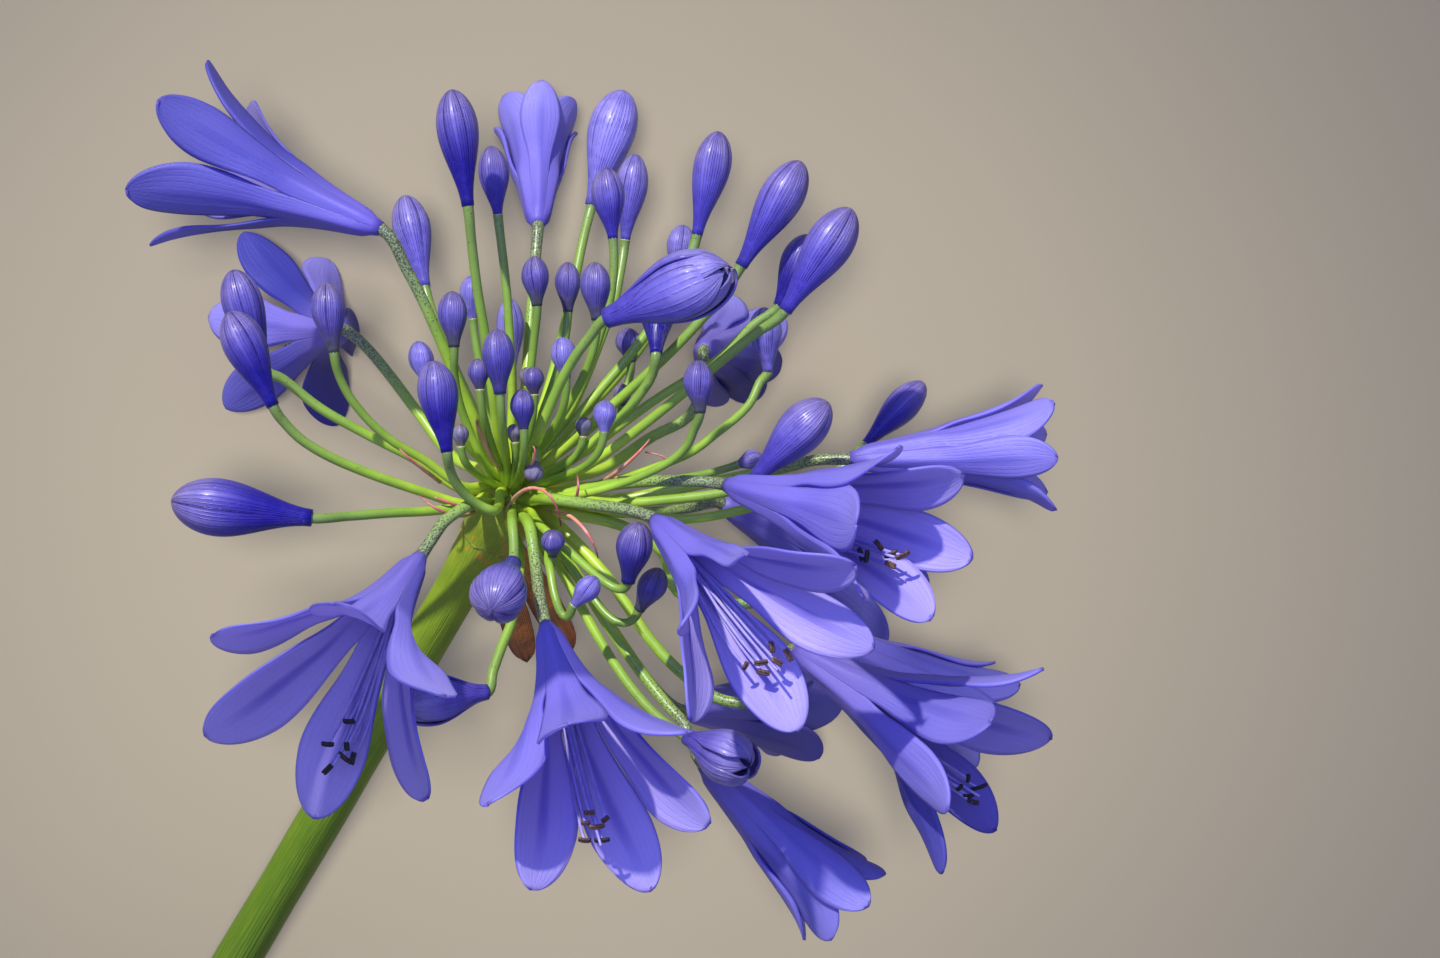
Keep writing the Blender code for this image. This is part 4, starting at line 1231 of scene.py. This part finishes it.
def find_knots(name, root, end):
    """The root, the points that the pedicel passes, and its end."""
    knots = [root]
    for pixel in reversed(PASSING.get(name, ())):
        share = 1.0 - (place(pixel, end.z) - end).length / (end - root).length
        rise = (end.z - root.z) * min(max(share, 0.0), 1.0) ** 0.8
        knots.append(place(pixel, root.z + rise))
    return [*knots, end]


def grow_pedicel(shell, name, joint, along, radius, tone):
    """A rod through the dome, the pixels it passes, and the joint."""
    toward = (joint - RECEPTACLE).normalized()
    root_way = (toward + UMBEL_AXIS * 0.7).normalized()
    root = RECEPTACLE + root_way * (DOME_RADIUS * ROOT_DEPTH)
    end = joint + along * JOINT_OVERLAP
    whole = (end - root).length
    knots = find_knots(name, root, end)
    ways = [(root_way * 0.2 + toward).normalized()]
    for before, after in zip(knots, knots[2:]):
        ways.append((after - before).normalized())
    ways.append(along)
    ease_off = 0.36 if len(knots) > 2 else 0.30
    centres = [root]
    for start, stop, leave, arrive in zip(knots, knots[1:], ways, ways[1:]):
        span = (stop - start).length * ease_off
        steps = max(4, round(PEDICEL_RINGS * (stop - start).length / whole))
        for k in range(1, steps + 1):
            centres.append(bezier(start, start + leave * span, stop - arrive * span, stop,
                                  k / steps))
    centres.insert(-1, end - along * 0.25)
    centres.insert(-2, end - along * 0.5)
    run = [0.0]
    for before, after in zip(centres, centres[1:]):
        run.append(run[-1] + (after - before).length)
    radii = []
    for length in run:
        t = length / run[-1]
        radii.append(radius * (1.0 + 0.3 * ease(t, 0.3, 0.0) + 0.10 * ease(t, 0.90, 1.0)))
    radii[-2] *= 1.07
    grow_rod(shell, centres, radii, PEDICEL_SIDES, Vector((0.21, 0.34, 0.92)), tone)


def build_pedicels():
    """Every pedicel, as one mesh: they all stand for the same stalk."""
    shell = new_shell()
    for name, flower in FLOWERS.items():
        along = direction(flower.bearing, flower.rise)
        grow_pedicel(shell, name, joints[name], along, FLOWER_PEDICEL_RADIUS, 1.0)
    for name, bud in {**BUDS, **YOUNGEST}.items():
        along = direction(bud.bearing, bud.rise)
        radius = BUD_PEDICEL_RADIUS + GROWN_BUD_EXTRA * bud.plump
        grow_pedicel(shell, name, place(bud.joint, bud.height), along, radius,
                     0.25 if bud.plump > 0.5 else 0.1)
    finish_piece("pedicels", shell, make_pedicel_skin(), ["stalk"])


build_pedicels()


# Bracteoles. Fine pink-red threads that grow between the feet of the pedicels and
# curl as they dry. Each is held by its root in the dome.

THREAD_RADIUS = 0.38
THREAD_TAPER = 0.26
THREAD_RINGS = 14
# Four pixels of the photo for each thread, with their heights above the table.
THREADS = (
    ((507, 512, 84), (521, 492, 104), (549, 487, 107), (561, 526, 105)),
    ((552, 512, 88), (572, 516, 102), (588, 534, 104), (598, 558, 102)),
    ((566, 505, 86), (575, 503, 96), (578, 488, 100), (577, 474, 99)),
    ((474, 512, 84), (455, 517, 98), (437, 508, 100), (420, 496, 101)),
    ((480, 505, 82), (462, 508, 90), (446, 500, 92), (434, 497, 92)),
    ((500, 470, 86), (486, 446, 96), (478, 428, 100), (478, 419, 102)),
    ((600, 482, 84), (621, 470, 92), (638, 452, 94), (650, 439, 95)),
    ((440, 482, 82), (422, 468, 90), (408, 458, 92), (399, 448, 93)),
    ((612, 478, 82), (640, 476, 90), (680, 462, 92), (645, 452, 94)),
    ((520, 480, 88), (528, 468, 96), (536, 456, 100), (533, 446, 101)),
)


def make_thread_skin():
    """Dry pink-red, pale in patches, dark at the withered end."""
    material, tree, shader = new_finish("bracteole skin", 0.6)
    _, along, _ = growth_of(tree)
    skin = colours_along(tree, along, [
        (0.0, (0.35, 0.30, 0.08)), (0.3, (0.60, 0.25, 0.13)), (0.7, (0.56, 0.12, 0.09)),
        (1.0, (0.18, 0.03, 0.03))])
    skin = tint(tree, between(tree, cloud(tree, 600.0), 0.4, 0.7), skin,
                (0.70, 0.42, 0.26), 0.5)
    lay_skin(tree, shader, skin, cloud(tree, 1500.0), 0.0001)
    return material


def build_threads():
    """A thin rod along each thread, tapered to its end."""
    shell = new_shell()
    for thread in THREADS:
        points = [place(point[:2], point[2]) for point in thread]
        controls = [points[0], points[1] * 1.4 - (points[0] + points[3]) * 0.2,
                    points[2] * 1.4 - (points[0] + points[3]) * 0.2, points[3]]
        shares = [k / THREAD_RINGS for k in range(THREAD_RINGS + 1)]
        centres = [bezier(*controls, share) for share in shares]
        radii = [THREAD_RADIUS - THREAD_TAPER * share ** 1.8 for share in shares]
        grow_rod(shell, centres, radii, 6, Vector((0.3, 0.2, 0.93)))
    finish_piece("bracteoles", shell, make_thread_skin(), ["stalk"])


build_threads()


# Table, light and camera. A plain pale table top, sunlight from the photo's top with a
# blue sky to fill its shade, and the photo's own view, which looks straight down on
# the laid flower head.

# The table and the lamps' distance are in metres, the lens and its sensor in mm.
TABLE_COLOUR = (0.500, 0.430, 0.305)
TABLE_HALF = 2.5
LAMP_DISTANCE = 1.5
LENS = 100.0
SENSOR = 36.0


def build_table():
    """The table top, faintly clouded so that it isn't one flat colour."""
    shell = bmesh.new()
    bmesh.ops.create_grid(shell, x_segments=1, y_segments=1, size=TABLE_HALF)
    mesh = bpy.data.meshes.new("table_top")
    shell.to_mesh(mesh)
    shell.free()
    table = put_in_scene("table_top", mesh)
    material, tree, shader = new_finish("pale table top", 0.85)
    colour = tint(tree, between(tree, cloud(tree, 3.0), 0.3, 0.7), TABLE_COLOUR,
                  tuple(0.94 * c for c in TABLE_COLOUR))
    tree.links.new(colour, shader.inputs["Base Color"])
    mesh.materials.append(material)
    table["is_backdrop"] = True


def add_lamp(name, kind, toward, size, power, colour):
    """A lamp that stands off from the umbel and is turned to face it."""
    lamp = bpy.data.lights.new(name, kind)
    if kind == "SUN":
        lamp.angle = size
    elif kind == "SPOT":
        lamp.spot_size = size
        lamp.spot_blend = 1.0
        lamp.shadow_soft_size = 0.1
    else:
        lamp.size = size
    lamp.energy = power
    lamp.color = colour
    thing = put_in_scene(name, lamp)
    way = Vector(toward).normalized()
    thing.location = RECEPTACLE * METRES + way * LAMP_DISTANCE
    thing.rotation_mode = "QUATERNION"
    thing.rotation_quaternion = way.to_track_quat("Z", "Y")
    thing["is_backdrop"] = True
    return thing


def light_only(lamp, things):
    """Let the lamp light these things and nothing else."""
    lit = bpy.data.collections.new("lit by " + lamp.name)
    for thing in things:
        lit.objects.link(thing)
    lamp.light_linking.receiver_collection = lit


def add_camera():
    """The photo's view: as high above the table as its pixels were placed from."""
    lens = bpy.data.cameras.new("photo_view")
    lens.lens = LENS
    lens.sensor_width = SENSOR
    camera = put_in_scene("photo_view", lens)
    camera.location = (BOX_SHIFT + UP * CAMERA_HEIGHT) * METRES
    bpy.context.scene.camera = camera


build_table()
key = add_lamp("key", "SUN", (-0.30, 0.62, 0.72), math.radians(1.5), 5.4,
               (1.0, 0.96, 0.88))
side = add_lamp("side", "SUN", (0.12, 0.96, 0.24), math.radians(3.0), 4.6,
                (1.0, 0.98, 0.94))
sky = add_lamp("sky", "AREA", (-0.10, 0.25, 0.96), 1.8, 32.0, (0.14, 0.17, 1.0))
low_sky = add_lamp("low sky", "AREA", (-0.10, 0.25, 0.96), 1.8, 20.0, (0.20, 0.24, 1.0))
pool = add_lamp("pool", "SPOT", (0.02, 0.0, 1.0), math.radians(16.0), 74.0,
                (1.0, 0.98, 0.95))

# The key gives the petals their crisp sunny shade, and the blue of a clear sky fills
# it in. The flower at the lower left hangs in the shade, with light on its back only
# and less of the sky. The table top has a pale pool of light of its own.
shaded = [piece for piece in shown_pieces() if piece.name.startswith("flower_02")]
sunny = [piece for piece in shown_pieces() if piece not in shaded]
light_only(key, sunny)
light_only(sky, sunny)
light_only(side, shaded)
light_only(low_sky, shaded)
light_only(pool, [bpy.data.objects["table_top"]])
add_camera()

world = bpy.data.worlds.new("soft room light")
world.use_nodes = True
world.node_tree.nodes["Background"].inputs["Color"].default_value = (0.68, 0.73, 1.0, 1.0)
world.node_tree.nodes["Background"].inputs["Strength"].default_value = 0.58
bpy.context.scene.world = world
bpy.context.scene.view_settings.view_transform = "Standard"
